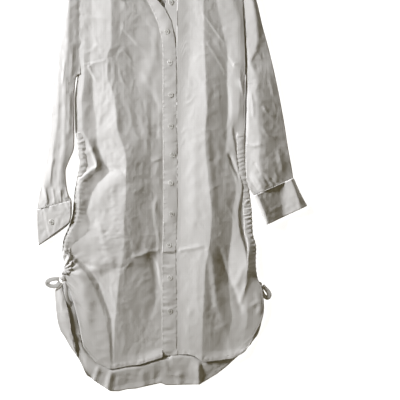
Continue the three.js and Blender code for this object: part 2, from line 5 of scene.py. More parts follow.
import bpy
import numpy as np
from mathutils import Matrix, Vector


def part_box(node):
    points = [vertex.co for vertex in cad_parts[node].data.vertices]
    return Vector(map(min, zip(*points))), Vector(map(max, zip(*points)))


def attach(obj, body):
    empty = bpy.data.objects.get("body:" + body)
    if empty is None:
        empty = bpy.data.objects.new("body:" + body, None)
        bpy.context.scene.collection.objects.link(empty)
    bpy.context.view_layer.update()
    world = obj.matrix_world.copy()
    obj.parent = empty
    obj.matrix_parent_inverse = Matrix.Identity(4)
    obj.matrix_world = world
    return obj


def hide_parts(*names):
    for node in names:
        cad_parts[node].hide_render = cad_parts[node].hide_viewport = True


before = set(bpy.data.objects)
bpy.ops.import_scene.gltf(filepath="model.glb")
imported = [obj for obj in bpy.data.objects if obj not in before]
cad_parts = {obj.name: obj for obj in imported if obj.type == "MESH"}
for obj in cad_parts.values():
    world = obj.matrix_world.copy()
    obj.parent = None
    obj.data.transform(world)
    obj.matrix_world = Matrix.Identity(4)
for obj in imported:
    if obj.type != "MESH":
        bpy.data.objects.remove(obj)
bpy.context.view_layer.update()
mm = 0.001

# The pattern's own frame, in millimetres: X from the centre front towards the wearer's left,
# Y up from the hem, Z above the floor. The ninth front button is sewn on its centre line.
ninthButtonY = 757
low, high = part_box("button_front_9")
patternZero = np.array([(low.x + high.x) / 2, (low.y + high.y) / 2 - ninthButtonY * mm, 0])


def placed(points):
    # pattern millimetres to metres in the part's frame
    return np.asarray(points, float) * mm + patternZero


def table(columns, rows):
    # a short table with named columns, as one array for each column
    return dict(zip(columns.split(), np.array(rows, float).T))


def foldTable(lines, rows):
    # fold lines at each y: where each lies across the piece (X) and the cloth's height there (Z)
    return table("y " + " ".join(line + "X " + line + "Z" for line in lines), rows)


def smooth(share):
    share = np.clip(share, 0, 1)
    return share * share * (3 - 2 * share)


def along(rows, column, at, key="y"):
    # one column's value where the key column is at, on a smooth line that never overshoots
    order = np.argsort(rows[key])
    x = rows[key][order]
    v = rows[column][order]
    at = np.clip(at, x[0], x[-1])
    step = np.diff(x)
    slope = np.diff(v) / step
    turn = np.zeros_like(v)
    before, after = slope[:-1], slope[1:]
    same = before * after > 0
    turn[1:-1][same] = 2 * before[same] * after[same] / (before[same] + after[same])
    turn[0], turn[-1] = slope[0], slope[-1]
    k = np.clip(np.searchsorted(x, at) - 1, 0, len(step) - 1)
    t = (at - x[k]) / step[k]
    start = v[k] * (1 + 2 * t) * (1 - t) ** 2 + step[k] * turn[k] * t * (1 - t) ** 2
    return start + v[k + 1] * t * t * (3 - 2 * t) - step[k] * turn[k + 1] * t * t * (1 - t)


def straight(rows, column, at, key="x"):
    # the same between straight lines, for cut edges with corners
    order = np.argsort(rows[key])
    return np.interp(at, rows[key][order], rows[column][order])


def smoothLine(points, steps):
    # a smooth line through given points
    p = np.array(points, float)
    p = np.vstack([2 * p[0] - p[1], p, 2 * p[-1] - p[-2]])
    t = np.linspace(0, 1, steps, endpoint=False)[:, None]
    runs = []
    for a, b, c, d in zip(p, p[1:], p[2:], p[3:]):
        bend = (2 * a - 5 * b + 4 * c - d) * t**2 + (3 * b - a - 3 * c + d) * t**3
        runs.append((2 * b + (c - a) * t + bend) / 2)
    return np.vstack(runs + [p[-2:-1]])


def cloud(x, y, size, seed):
    # soft random hills from -1 to 1, each about size millimetres across
    hills = np.random.default_rng(seed).uniform(-1, 1, (97, 97))
    u = x / size + 31.7
    v = y / size + 17.3
    i = np.floor(u).astype(int)
    j = np.floor(v).astype(int)
    f = smooth(u - i)
    g = smooth(v - j)
    i, j = i % 96, j % 96
    near = hills[j, i] * (1 - f) + hills[j, i + 1] * f
    far = hills[j + 1, i] * (1 - f) + hills[j + 1, i + 1] * f
    return near * (1 - g) + far * g


def crumple(x, y, size, seed, stretch):
    # pressed wrinkles: sharp little ridges between shallow facets, from -1 to 1
    u = x + size * 0.6 * cloud(x, y, size * 1.7, seed + 5)
    v = y / stretch + size * 0.6 * cloud(x, y, size * 1.7, seed + 6)
    ridges = 1 - np.abs(cloud(u, v, size, seed)) * 2
    small = 1 - np.abs(cloud(u, v, size * 0.45, seed + 1)) * 2
    return ridges * 0.7 + small * 0.3


def creaseRise(crease, x, y):
    # the height that one pressed crease or soft fold adds: a ridge along its line, with a side
    # of its own width on the left and right of it, and ends that run out
    line = smoothLine(crease["path"], 6)
    reachMost = max(crease["left"], crease["right"])
    lowest, highest = line.min(0) - reachMost, line.max(0) + reachMost
    near = (x > lowest[0]) & (x < highest[0]) & (y > lowest[1]) & (y < highest[1])
    px, py = x[near], y[near]
    steps = np.diff(line, axis=0)
    lengths = np.hypot(steps[:, 0], steps[:, 1])
    total = lengths.sum()
    best = np.full(px.shape, 1e9)
    side = np.zeros(px.shape)
    at = np.zeros(px.shape)
    gone = 0.0
    for (ax, ay), (dx, dy), length in zip(line, steps, lengths):
        t = np.clip(((px - ax) * dx + (py - ay) * dy) / length**2, 0, 1)
        ex, ey = px - ax - t * dx, py - ay - t * dy
        away = np.hypot(ex, ey)
        nearer = away < best
        best = np.where(nearer, away, best)
        side = np.where(nearer, dx * ey - dy * ex, side)
        at = np.where(nearer, (gone + t * length) / total, at)
        gone += length
    share = np.clip(1 - best / np.where(side > 0, crease["left"], crease["right"]), 0, 1)
    section = crease["sharp"] * share**2 + (1 - crease["sharp"]) * smooth(share)
    first, last = crease["ends"]
    ends = smooth(at / max(first, 1e-3)) * smooth((1 - at) / max(last, 1e-3))
    rise = np.zeros_like(x)
    rise[near] = crease["rise"] * section * ends
    return rise


def creased(found, x, y):
    # the height that a whole list of creases adds
    return sum(creaseRise(crease, x, y) for crease in found)


def patch(x, y, middleX, middleY, wide, tall):
    # 1 in the middle of a patch of cloth, fading out to 0 round it
    return np.exp(-(((x - middleX) / wide) ** 2 + ((y - middleY) / tall) ** 2))


def creases(rows):
    # rows of (path, rise, left, right, sharp, ends) as creases
    names = ("path", "rise", "left", "right", "sharp", "ends")
    return [dict(zip(names, row)) for row in rows]


def scattered(seed, count, xs, ys, rise, length, lean):
    # small pressed creases here and there, most of them leaning the same way
    pick = np.random.default_rng(seed)
    found = []
    for _ in range(count):
        x, y = pick.uniform(*xs), pick.uniform(*ys)
        turn = lean + pick.normal(0, 0.55) if pick.random() < 0.7 else pick.uniform(0, math.pi)
        half = length * pick.uniform(0.3, 0.8)
        dx, dy = half * math.cos(turn), half * math.sin(turn)
        bend = pick.uniform(-0.15, 0.15)
        path = [(x - dx, y - dy), (x + dy * bend, y - dx * bend), (x + dx, y + dy)]
        narrow, wide = pick.uniform(2.5, 4.5), pick.uniform(7, 15)
        sides = (narrow, wide) if pick.random() < 0.5 else (wide, narrow)
        found.append((path, rise * pick.uniform(0.4, 1.2), *sides, 0.8, (0.4, 0.4)))
    return creases(found)


def foldHeight(folds, lines, x, y, soften=1.5):
    # height of a panel from its fold lines, with each fold's edge rounded a little
    total = 0
    for shift, weight in ((-1.6, 0.12), (-0.8, 0.23), (0, 0.3), (0.8, 0.23), (1.6, 0.12)):
        px = x + shift * soften
        places = [along(folds, line + "X", y) for line in lines]
        heights = [along(folds, line + "Z", y) for line in lines]
        z = heights[0].copy()
        for a, b, low, high in zip(places, places[1:], heights, heights[1:]):
            z += (high - low) * np.clip((px - a) / np.maximum(b - a, 0.5), 0, 1)
        total = total + weight * z
    return total


def newPiece(name, vertices, faces, material):
    mesh = bpy.data.meshes.new(name)
    mesh.from_pydata(placed(vertices).tolist(), [], faces)
    mesh.shade_smooth()
    mesh.update()
    piece = bpy.data.objects.new(name, mesh)
    bpy.context.scene.collection.objects.link(piece)
    piece.data.materials.append(material)
    return piece


def gridFaces(rows, columns, ring, looped=False):
    # ring joins the last column to the first one, and looped the last row to the first
    faces = []
    for j in range(rows if looped else rows - 1):
        here, above = j * columns, (j + 1) % rows * columns
        for i in range(columns if ring else columns - 1):
            k = (i + 1) % columns
            faces.append((here + i, here + k, above + k, above + i))
    return faces


def endCaps(rows, columns):
    # the two faces that close a round grid at its ends
    return [tuple(range(columns))[::-1], tuple(range((rows - 1) * columns, rows * columns))]


def ringsRound(path, sideways, upwards, looped=False):
    # sections round a path; the two arrays say how far each point lies to its side and above it
    ahead = np.roll(path, -1, 0) - np.roll(path, 1, 0) if looped else np.gradient(path, axis=0)
    ahead /= np.linalg.norm(ahead, axis=1)[:, None]
    side = np.cross(ahead, [0, 0, 1.0])
    side[np.linalg.norm(side, axis=1) < 1e-6] = (1, 0, 0)
    side /= np.linalg.norm(side, axis=1)[:, None]
    up = np.cross(side, ahead)
    return path[:, None] + side[:, None] * sideways[..., None] + up[:, None] * upwards[..., None]


def belongs(piece, nodes):
    # the piece rides on the one body and takes the place of those nodes
    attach(piece, "root")
    if nodes:
        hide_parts(*nodes)
    return piece


def linenPiece(name, points, faces, slot):
    piece = newPiece(name + "_linen", points.reshape(-1, 3), faces, linens[slot])
    return belongs(piece, [name])


def clothPiece(name, grid, slot, wall, ring=False):
    # a thin cloth wall whose upper side is the grid, in pattern millimetres
    rows, columns = grid.shape[:2]
    piece = linenPiece(name, grid, gridFaces(rows, columns, ring), slot)
    solid = piece.modifiers.new("wall", "SOLIDIFY")
    solid.thickness = wall * mm
    solid.offset = -1
    return piece


def spaced(length, step, edge=0.6):
    # shares from 0 to 1 about step apart, with one more close to each end for a crisp edge
    count = max(2, round(length / step))
    inner = np.linspace(edge / length, 1 - edge / length, count)
    return np.concatenate([[0], inner, [1]])


def fill(tree, socket, value):
    # links another node's value to a socket, or puts a plain number or colour there
    if isinstance(value, Value):
        tree.links.new(value.socket, socket)
    else:
        socket.default_value = value


class Value:
    # wraps a socket, so that shader maths is written as an expression
    def __init__(self, tree, socket):
        self.tree = tree
        self.socket = socket

    def maths(self, operation, first, second):
        node = self.tree.nodes.new("ShaderNodeMath")
        node.operation = operation
        for socket, value in zip(node.inputs, (first, second)):
            fill(self.tree, socket, value)
        return Value(self.tree, node.outputs[0])

    def __add__(self, other):
        return self.maths("ADD", self, other)

    def __mul__(self, other):
        return self.maths("MULTIPLY", self, other)

    __radd__ = __add__


class Shader:
    def __init__(self, name):
        self.material = bpy.data.materials.new(name)
        self.material.use_nodes = True
        self.tree = self.material.node_tree
        self.surface = self.tree.nodes["Principled BSDF"]

    def node(self, kind, settings=None, inputs=None, output=0):
        # a node of that kind, its settings first and then the values or links of its sockets
        node = self.tree.nodes.new("ShaderNode" + kind)
        for name, value in (settings or {}).items():
            setattr(node, name, value)
        for name, value in (inputs or {}).items():
            fill(self.tree, node.inputs[name], value)
        return Value(self.tree, node.outputs[output])

    def colour(self, mask, low, high):
        # low where the mask is 0 and high where it is 1
        mixed = self.tree.nodes.new("ShaderNodeMix")
        mixed.data_type = "RGBA"
        fill(self.tree, mixed.inputs["Factor"], mask)
        for socket, colour in ((mixed.inputs[6], low), (mixed.inputs[7], high)):
            fill(self.tree, socket, (*colour, 1))
        return Value(self.tree, mixed.outputs[2])

    def finish(self, **sockets):
        for name, value in sockets.items():
            fill(self.tree, self.surface.inputs[name.replace("_", " ")], value)
        return self.material


linenLook = {
    "light": (0.80, 0.785, 0.757),
    "deep": (0.73, 0.712, 0.678),
    "threadPitch": 0.85,  # millimetres from one thread to the next
    "weaveDepth": 0.03,
    "slubDepth": 0.13,  # slubs are the thicker stretches of a thread
    "slubWidth": 4.0,
    "slubLength": 70.0,
    "grainDepth": 0.06,
}
# the wrinkles of each colour slot's linen: the smaller its pieces, the smaller they are
linenWrinkles = {
    "linen_body": {"name": "linenBody", "wrinkleSize": 26.0, "wrinkleDepth": 0.34},
    "linen_bands": {"name": "linenBand", "wrinkleSize": 14.0, "wrinkleDepth": 0.16},
    "linen_casing": {"name": "linenCasing", "wrinkleSize": 9.0, "wrinkleDepth": 0.14},
    "linen_tie": {"name": "linenTie", "wrinkleSize": 8.0, "wrinkleDepth": 0.1},
}


def linenMaterial(name, wrinkleSize, wrinkleDepth):
    look = linenLook
    shader = Shader(name)
    place = shader.node("TexCoord", output="Object")

    def stretched(x, y):
        # the place on the cloth, shrunk or stretched along the warp and the weft
        scale = {"Vector": place, "Scale": (x / mm, y / mm, min(x, y) / mm)}
        return shader.node("Mapping", {}, scale)

    def noise(vector, detail, roughness):
        sockets = {"Vector": vector, "Scale": 1.0, "Detail": detail, "Roughness": roughness}
        return shader.node("TexNoise", {}, sockets)

    def threads(direction):
        sockets = {"Vector": place, "Scale": 1 / mm / look["threadPitch"] / 20, "Distortion": 0.6,
                   "Detail": 1.0, "Detail Scale": 2.0}
        return shader.node("TexWave", {"bands_direction": direction}, sockets, 1)

    def ridged(vector, detail):
        sockets = {"Vector": vector, "Scale": 1.0, "Detail": detail, "Roughness": 0.6,
                   "Distortion": 0.5}
        return shader.node("TexNoise", {"noise_type": "RIDGED_MULTIFRACTAL"}, sockets)

    thin, long = 1 / look["slubWidth"], 1 / look["slubLength"]
    warpSlub = noise(stretched(thin, long), 3.0, 0.6)
    weftSlub = noise(stretched(long, thin), 2.0, 0.5)
    grain = noise(stretched(0.5, 0.5), 3.0, 0.6)
    size = 1 / wrinkleSize
    wrinkle = ridged(stretched(size, size * 0.6), 3.0)
    broad = noise(stretched(0.02, 0.016), 3.0, 0.55)
    weave = (threads("X") + threads("Y")) * look["weaveDepth"]
    slub = (warpSlub + weftSlub * 0.5) * look["slubDepth"]
    relief = weave + slub + wrinkle * wrinkleDepth + grain * look["grainDepth"]
    shade = (warpSlub + weftSlub) * 0.25 + broad * 0.5
    base = shader.colour(shade, look["deep"], look["light"])
    bump = shader.node("Bump", {}, {"Height": relief, "Strength": 0.8, "Distance": mm})
    return shader.finish(
        Base_Color=base,
        Roughness=0.78 + grain * 0.16,
        Normal=bump,
        Sheen_Weight=0.12,
        Sheen_Roughness=0.5,
        Specular_IOR_Level=0.25,
    )


linens = {slot: linenMaterial(**values) for slot, values in linenWrinkles.items()}

cameraLook = {
    "acrossSeen": 0.92,  # metres of the floor from one side of the picture to the other
    "height": 3.2,
    "middle": (69, 441.6),  # pattern place in the middle of the picture
}
middle = placed([*cameraLook["middle"], 0])
cameraData = bpy.data.cameras.new("camera")
cameraData.lens = cameraData.sensor_width * cameraLook["height"] / cameraLook["acrossSeen"]
cameraData.clip_end = 50
camera = bpy.data.objects.new("camera", cameraData)
camera.location = (middle[0], middle[1], cameraLook["height"])
bpy.context.scene.collection.objects.link(camera)
bpy.context.scene.camera = camera
print("camera set")

lightLook = {
    # place and size in metres, and the spot of the pattern that it aims at
    "windowLight": {
        "place": (-2.8, 1.48, 1.08), "aim": (-60, 700, 10), "size": (1.35, 0.75),
        "watts": 25.5, "colour": (0.93, 0.946, 1.0), "spread": 62,
    },
    "lowFill": {
        "place": (1.3, -1.5, 1.6), "aim": (40, 400, 0), "size": (1.6, 1.6),
        "watts": 2.4, "colour": (1.0, 0.88, 0.55), "spread": 180,
    },
}
worldLook = {"colour": (1.0, 0.84, 0.48), "strength": 0.075}


def softLight(name, place, aim, size, watts, colour, spread):
    data = bpy.data.lights.new(name, "AREA")
    data.shape = "RECTANGLE"
    data.size, data.size_y = size
    data.energy = watts
    data.color = colour
    data.spread = math.radians(spread)
    lamp = bpy.data.objects.new(name, data)
    lamp.location = place
    direction = placed(aim) - np.array(place)
    lamp.rotation_euler = Vector(direction).to_track_quat("-Z", "Y").to_euler()
    bpy.context.scene.collection.objects.link(lamp)


for name, values in lightLook.items():
    softLight(name, **values)
world = bpy.data.worlds.new("studio")
world.use_nodes = True
sky = world.node_tree.nodes["Background"].inputs
sky["Color"].default_value = (*worldLook["colour"], 1)
sky["Strength"].default_value = worldLook["strength"]
bpy.context.scene.world = world
bpy.context.scene.view_settings.view_transform = "Standard"

floorLook = {"reach": 6.0, "z": -0.0004, "glow": 0.9}  # metres, and how much light it gives
floorShader = Shader("whiteFloor")
floorPlace = floorShader.node("TexCoord", output="Object")
floorGrain = floorShader.node("TexNoise", {}, {"Vector": floorPlace, "Scale": 40.0, "Detail": 3.0})
floorMaterial = floorShader.finish(
    Base_Color=floorShader.colour(floorGrain, (0.9, 0.9, 0.9), (0.93, 0.93, 0.93)),
    Roughness=0.9, Emission_Color=(1, 1, 1, 1), Emission_Strength=floorLook["glow"],
)
floorMesh = bpy.data.meshes.new("floor")
corners = [(x * floorLook["reach"], y * floorLook["reach"], floorLook["z"])
           for x, y in ((-1, -1), (1, -1), (1, 1), (-1, 1))]
floorMesh.from_pydata(corners, [], [(0, 1, 2, 3)])
floorMesh.materials.append(floorMaterial)
floor = bpy.data.objects.new("floor", floorMesh)
bpy.context.scene.collection.objects.link(floor)
print("light and floor set")

tieLook = {
    "tailWidth": 8, "loopWidth": 10.5, "thick": 1.8, "around": 14, "squareness": 0.4,
    "narrowing": 0.07, "narrowPitch": 5.3,  # small folds that make the tape's width uneven
}
tieRoutes = {
    "tie_right_loop": [
        (-253.6, 260.5, 9.6), (-262, 261, 10), (-275, 258.5, 9.5), (-282, 252, 8.5),
        (-277.5, 245.8, 7.6), (-267, 243.8, 7.4), (-258, 246.5, 7.8), (-252, 254.2, 8.4),
    ],
    "tie_right_tail": [
        (-243.2, 254, 9), (-240, 240, 10.8), (-237.5, 224, 10.4), (-233, 206, 6),
        (-227.5, 188, 2.6), (-223, 170, 2.2), (-220, 152, 2.2),
    ],
    "tie_left_loop": [
        (212, 245, 4.2), (219.5, 238, 3.8), (226, 230, 3.6), (228, 222, 3.4),
        (223.5, 217, 3.4), (216.5, 221.5, 3.4), (211, 230, 3.6), (207, 239.6, 4),
    ],
    "tie_left_tail": [
        (198, 240.4, 4), (197, 228, 3.2), (194, 214, 3), (192, 200, 3), (191, 186, 3), (190, 172, 3),
    ],
}
tieKnots = {
    "tie_right_knot": {"middle": (-244.6, 263.2, 7.2), "radii": (8.4, 8.2, 5)},
    "tie_left_knot": {"middle": (203.5, 247, 3.8), "radii": (8.4, 7, 2.1)},
}


def tapePiece(name, route, width):
    # a flat tape along its route, with the line of its middle and its length in metres
    line = smoothLine(route, 6)
    turn = np.linspace(0, 2 * np.pi, tieLook["around"], endpoint=False)
    across = np.sign(np.cos(turn)) * np.abs(np.cos(turn)) ** tieLook["squareness"]
    gone = np.concatenate([[0], np.cumsum(np.linalg.norm(np.diff(line, axis=0), axis=1))])
    half = width / 2 * (1 - tieLook["narrowing"] * np.sin(gone / tieLook["narrowPitch"]))
    rings = ringsRound(line, -across * half[:, None], np.sin(turn) * tieLook["thick"] / 2)
    rows, columns = rings.shape[:2]
    faces = gridFaces(rows, columns, True) + endCaps(rows, columns)
    return linenPiece(name, rings, faces, "linen_tie"), placed(line), gone[-1] * mm


def knotPiece(name, middle, radii):
    # a flat overhand knot: one rounded lump with the tape's turns crossing over it
    rows, columns = 36, 64
    tilt = np.linspace(0, np.pi, rows)[:, None]
    turn = np.linspace(0, 2 * np.pi, columns, endpoint=False)[None]
    wraps = 0.10 * np.abs(np.sin(1.5 * turn + 1.2 * np.cos(tilt) + 0.4)) ** 0.6
    wraps = wraps + 0.07 * np.abs(np.sin(2.5 * tilt + 0.8 * np.sin(turn))) ** 0.7
    radius = 0.86 + wraps * np.sin(tilt)
    points = np.stack([
        middle[0] + radii[0] * radius * np.sin(tilt) * np.cos(turn),
        middle[1] + radii[1] * radius * np.sin(tilt) * np.sin(turn),
        middle[2] - radii[2] * radius * np.cos(tilt) * np.ones_like(turn),
    ], -1)
    linenPiece(name, points, gridFaces(rows, columns, True), "linen_tie")


for name, size in tieKnots.items():
    knotPiece(name, **size)
for name, route in tieRoutes.items():
    loop = name.endswith("loop")
    width = tieLook["loopWidth" if loop else "tailWidth"]
    piece, line, length = tapePiece(name, route, width)
print("ties tied")

# The buttonhole band's sewn edge, its free edge, its height and how much higher it is there.
bandEdges = table("outerX outerY freeX freeY z lean", [
    [-18, 83, 16, 85, 5.9, 0],
    [-18, 150, 16, 150, 5.9, 0],
    [-18, 212, 16, 212, 5.9, 0],
    [-18, 322, 13.5, 322, 5.9, 0],
    [-16, 350, 15, 350, 5.9, 0],
    [-14, 442, 17.5, 442, 5.9, 0],
    [-15, 534, 17.5, 534, 5.9, 0],
    [-16, 600, 16, 600, 5.9, 0],
    [-16, 672, 16, 672, 5.9, 0],
    [-16, 730, 15.5, 730, 5.9, 0],
    [-16, 787, 14, 791, 6, 0.4],
    [-19, 812, 11, 817, 6.1, 1],
    [-26, 844, 4, 851, 6.1, 1.9],
    [-38, 873, -11, 880, 6.2, 2.4],
    [-53, 902, -30, 902, 6.4, 2.8],
    [-64, 925, -39, 922, 6.6, 2.8],
    [-75, 948, -47, 943, 6.8, 2.4],
])
buttonBandEdges = table("freeX seamX y z lean", [
    [-14, 16, 88, 4.4, 0],
    [-14, 15, 322, 4.4, 0],
    [-13, 18, 442, 4.4, 0],
    [-12, 18, 534, 4.4, 0],
    [-13, 16, 672, 4.4, 0],
    [-14, 16, 791, 4.5, 0.4],
    [-14, 17, 820, 4.8, 2],
    [-14, 17, 845, 5.2, 3.2],
    [-14, 17.6, 879, 7.6, 1],
    [-7, 18, 902, 8.2, 0.4],
    [-9, 21, 943, 8.2, 0.2],
])
tuckedUnder = {"right": 1.5, "left": 1.2}  # how far a front reaches under its band's edge

# Fold lines up both fronts.
rightLines = ("side", "rib", "gully", "crest", "foot", "shelf", "seam")
rightFolds = foldTable(rightLines, [
    [1005, -202, 6, -186, 7.5, -166, 8, -122, 11, -102, 9.4, -92, 9, -80, 8.5],
    [948, -207, 8.2, -190, 9, -176, 9, -132, 14, -112, 11.6, -95, 9, -76, 6.6],
    [902, -208, 8.4, -194, 9.2, -179, 9.2, -135, 14.5, -115, 11.8, -86, 9.2, -53.5, 6],
    [856, -208.5, 8.4, -194, 9.2, -180, 9.2, -134, 14.5, -114, 11.6, -74, 8.2, -31, 5.7],
    [798, -209.5, 8.2, -195, 9.4, -181, 9.2, -134, 14.5, -114, 11.2, -80, 8, -18, 5.6],
    [766, -210.5, 7.6, -197, 9.8, -183, 9, -145, 13.5, -125, 10.9, -84, 7, -17, 5.5],
    [729, -212, 6.4, -196, 9.4, -178, 7.5, -143, 13, -125, 11, -83, 6.2, -16.5, 5.4],
    [672, -218.4, 5.6, -202, 9, -176, 5.5, -126, 15, -108, 12.6, -64, 6.8, -16.5, 5.3],
    [603, -217.6, 5.6, -200, 8, -168, 5.5, -120, 16, -102, 13.4, -46, 7.2, -16.5, 5.3],
    [580, -214, 6, -188, 9.5, -168, 5.8, -112, 17, -95, 14.4, -45, 7.3, -16.4, 5.3],
    [557, -212, 6.2, -183, 10.4, -163, 5.8, -104, 17.5, -88, 15, -44, 7.4, -16.2, 5.3],
    [540, -210, 6.4, -177, 10.8, -156, 5.8, -101, 18, -85, 15.5, -44, 7.5, -15.8, 5.3],
    [524, -209, 6.4, -169, 10.8, -149.5, 6.2, -99.6, 18.5, -84, 16, -44, 7.6, -15.5, 5.3],
    [508, -212, 6.4, -172, 10.6, -139, 6.8, -100, 18.3, -84, 15.8, -43, 7.6, -15.3, 5.3],
    [494, -214, 6.4, -188, 10.5, -149.5, 6.4, -100, 18.2, -85, 15.7, -43, 7.5, -15.1, 5.3],
    [481, -216, 6.6, -204, 10.5, -163, 5.8, -101, 18, -86, 15.6, -42, 7.5, -15, 5.3],
    [460, -219, 7.4, -208, 10, -177, 5.4, -101, 18, -86, 15.6, -42, 7.4, -14.8, 5.3],
    [437, -221, 7.8, -208, 10, -185, 5.4, -102, 17.8, -87, 15.4, -41, 7.3, -14.9, 5.3],
    [412, -223, 8, -209, 10, -190, 5.6, -103, 17.5, -88, 15.2, -40, 7.2, -15, 5.3],
    [391, -228, 8.4, -214, 10.4, -184, 7, -104, 17.5, -88.5, 15.1, -38, 6.8, -15.4, 5.3],
    [370, -236, 9, -227, 11, -188, 8.6, -105, 17.5, -89, 15, -35, 6.4, -16, 5.3],
    [350, -244, 9.5, -236, 11, -208, 9.6, -105, 17.5, -89, 15, -32, 6, -16.5, 5.3],
    [335, -246.5, 9, -240, 11, -224, 9, -106, 17.2, -89.5, 14.5, -32, 5.5, -17.3, 5.2],
    [320, -247, 8.5, -238, 12, -225, 8, -106, 17, -90, 14, -32, 5, -18, 5.1],
    [310, -245, 8, -230, 13, -215, 8, -107.5, 17.3, -92, 14.6, -32.5, 4.8, -18.2, 5.1],
    [299, -242, 9.2, -217, 13, -202, 8.4, -109, 17.5, -94, 15.2, -33, 4.6, -18.5, 5.1],
    [285, -244, 9.2, -203, 13, -189, 8.4, -113, 16, -98, 14.2, -34, 4.6, -18.5, 5.1],
    [268, -250, 9.2, -190, 12.6, -175, 8.2, -115, 16, -99, 14.2, -34, 4.6, -18.5, 5.1],
    [250, -240, 9.4, -178, 12.2, -163.5, 8.2, -117, 16.2, -101, 14.4, -34, 4.6, -18.5, 5.1],
    [235, -231, 9.6, -172, 12.2, -158.5, 8.4, -119, 16.5, -104, 14.6, -34, 4.6, -18.5, 5.1],
    [212, -223, 9.6, -163, 12.2, -150, 9.2, -121, 15.4, -106, 14.2, -33, 4.6, -18.5, 5.1],
    [184, -215, 9.2, -153, 12.2, -140, 9.8, -123.5, 14.2, -108, 12.6, -40, 4.8, -18.5, 5.1],
    [166, -211, 8.8, -147, 12.2, -134.5, 10.4, -125, 13, -110, 11.6, -48, 5, -18.5, 5.1],
    [108, -199, 7, -139, 10.5, -132, 9, -127, 9.8, -112, 8.8, -56, 5, -18.5, 5.1],
    [60, -180, 4.5, -136, 6.5, -131, 6, -127, 6.5, -102, 6, -60, 6, -18.5, 5.1],
])
leftLines = ("seam", "dip", "crest", "valley", "fold", "drop", "side")
leftFolds = foldTable(leftLines, [
    [1005, 22, 8, 50, 7, 66, 9, 90, 8, 130, 9, 134, 8.8, 162.5, 6.5],
    [943, 21.5, 8.4, 44, 7.8, 72, 11, 100, 9, 136, 10.5, 140, 10.3, 165, 7.5],
    [902, 18.5, 8.6, 45, 8, 77, 12.5, 106, 9.8, 143, 12.4, 147, 12, 166.7, 9],
    [850, 18, 8.2, 46, 7.6, 78, 13, 117, 9.3, 156, 12.2, 162, 12, 169, 10.4],
    [810, 17, 6.6, 46, 6.8, 78, 13.5, 126, 8.4, 155, 11.6, 162, 11.6, 171, 10.4],
    [772, 16.5, 5.8, 45, 6.4, 80, 14.5, 132, 8, 152, 11, 162, 11.6, 172.5, 10.6],
    [747, 16.5, 5.6, 44, 6.1, 81, 15, 131, 7.8, 146, 10.6, 162, 11.6, 173, 10.6],
    [700, 16.5, 5.6, 40, 6.1, 83, 16, 132, 7.4, 142, 10, 160, 11.8, 171, 10.6],
    [649, 16.5, 5.6, 34, 6.1, 85, 17, 134, 7, 142, 9.4, 158, 11.4, 169.5, 10],
    [600, 16.8, 5.6, 29, 6.1, 81, 17.5, 130, 8.6, 143.5, 9, 147, 7.8, 172, 8],
    [557, 17.8, 5.6, 27, 6.1, 82, 18, 128, 9.2, 151, 9.6, 154, 7.4, 173, 7],
    [511, 18.4, 5.6, 26, 6.1, 86, 18.5, 140, 9.2, 157, 9.6, 160, 7.2, 175, 6.4],
    [471, 18.5, 5.6, 26, 6.1, 90, 19, 152, 9, 166.5, 9.8, 169.5, 6.8, 181, 6],
    [412, 18.3, 5.6, 26, 6.1, 96, 19, 144, 8.9, 157.5, 9.6, 160.5, 6.8, 188, 6],
    [366, 17, 5.6, 24, 6.1, 94, 18, 142, 8.4, 162, 10.4, 165, 6.8, 190, 6],
    [333, 15.8, 5.6, 23, 6.1, 90, 17.5, 138, 7.4, 172, 12.6, 176, 9, 197.8, 6],
    [297, 15.6, 5.6, 23, 6.1, 83, 17, 134, 6, 176, 15.5, 180, 13, 197, 5],
    [267, 15.6, 5.6, 23, 6.1, 80, 16.5, 134, 5.6, 177, 14, 181, 12.4, 200, 6],
    [235, 15.6, 5.6, 24, 6.1, 79, 16, 136, 5.4, 172, 11, 176, 10.8, 213, 9],
    [193, 15.8, 5.6, 25, 6.1, 77, 15, 140, 5, 176, 9, 180, 9, 216, 8],
    [172, 15.8, 5.6, 25, 6.1, 76, 14, 142, 4.8, 176, 7, 180, 7, 213, 7],
    [122, 16, 5.6, 26, 6.1, 74, 11.5, 132, 4.6, 165, 5, 169, 5, 189, 5],
    [62, 16, 5.6, 28, 6.1, 73, 8.5, 120, 5.6, 150, 5.4, 153, 5.4, 160, 5],
])
rightHem = table("x y", [
    [-204, 140], [-199, 106], [-188.6, 90], [-168, 67], [-136, 53], [-98, 60], [-69, 64],
    [-25, 78], [-18, 80],
])
rightTop = table("x y", [[-202, 960], [-99, 994], [-90, 973], [-75, 945]])
leftHem = table("x y", [
    [16, 87], [44, 87], [57, 83], [69, 75], [78, 70], [113, 74], [143, 78], [163, 87],
    [175, 96], [189, 122],
])
leftTop = table("x y", [[21, 943], [31, 968], [39, 994], [163, 966]])


def panelGrid(placeAt, columns, hem, top, up):
    # places over a panel: placeAt(y) gives the columns' places across, and the rows share out
    # each column's length
    v = up[:, None] * np.ones((1, columns))
    low = np.full(v.shape, 90.0)
    high = np.full(v.shape, 950.0)
    for _ in range(14):  # the edges slope, so each end is found by trying again
        low = straight(hem, "y", placeAt(low))
        high = straight(top, "y", placeAt(high))
    y = low * (1 - v) + high * v
    return placeAt(y), y, y - low


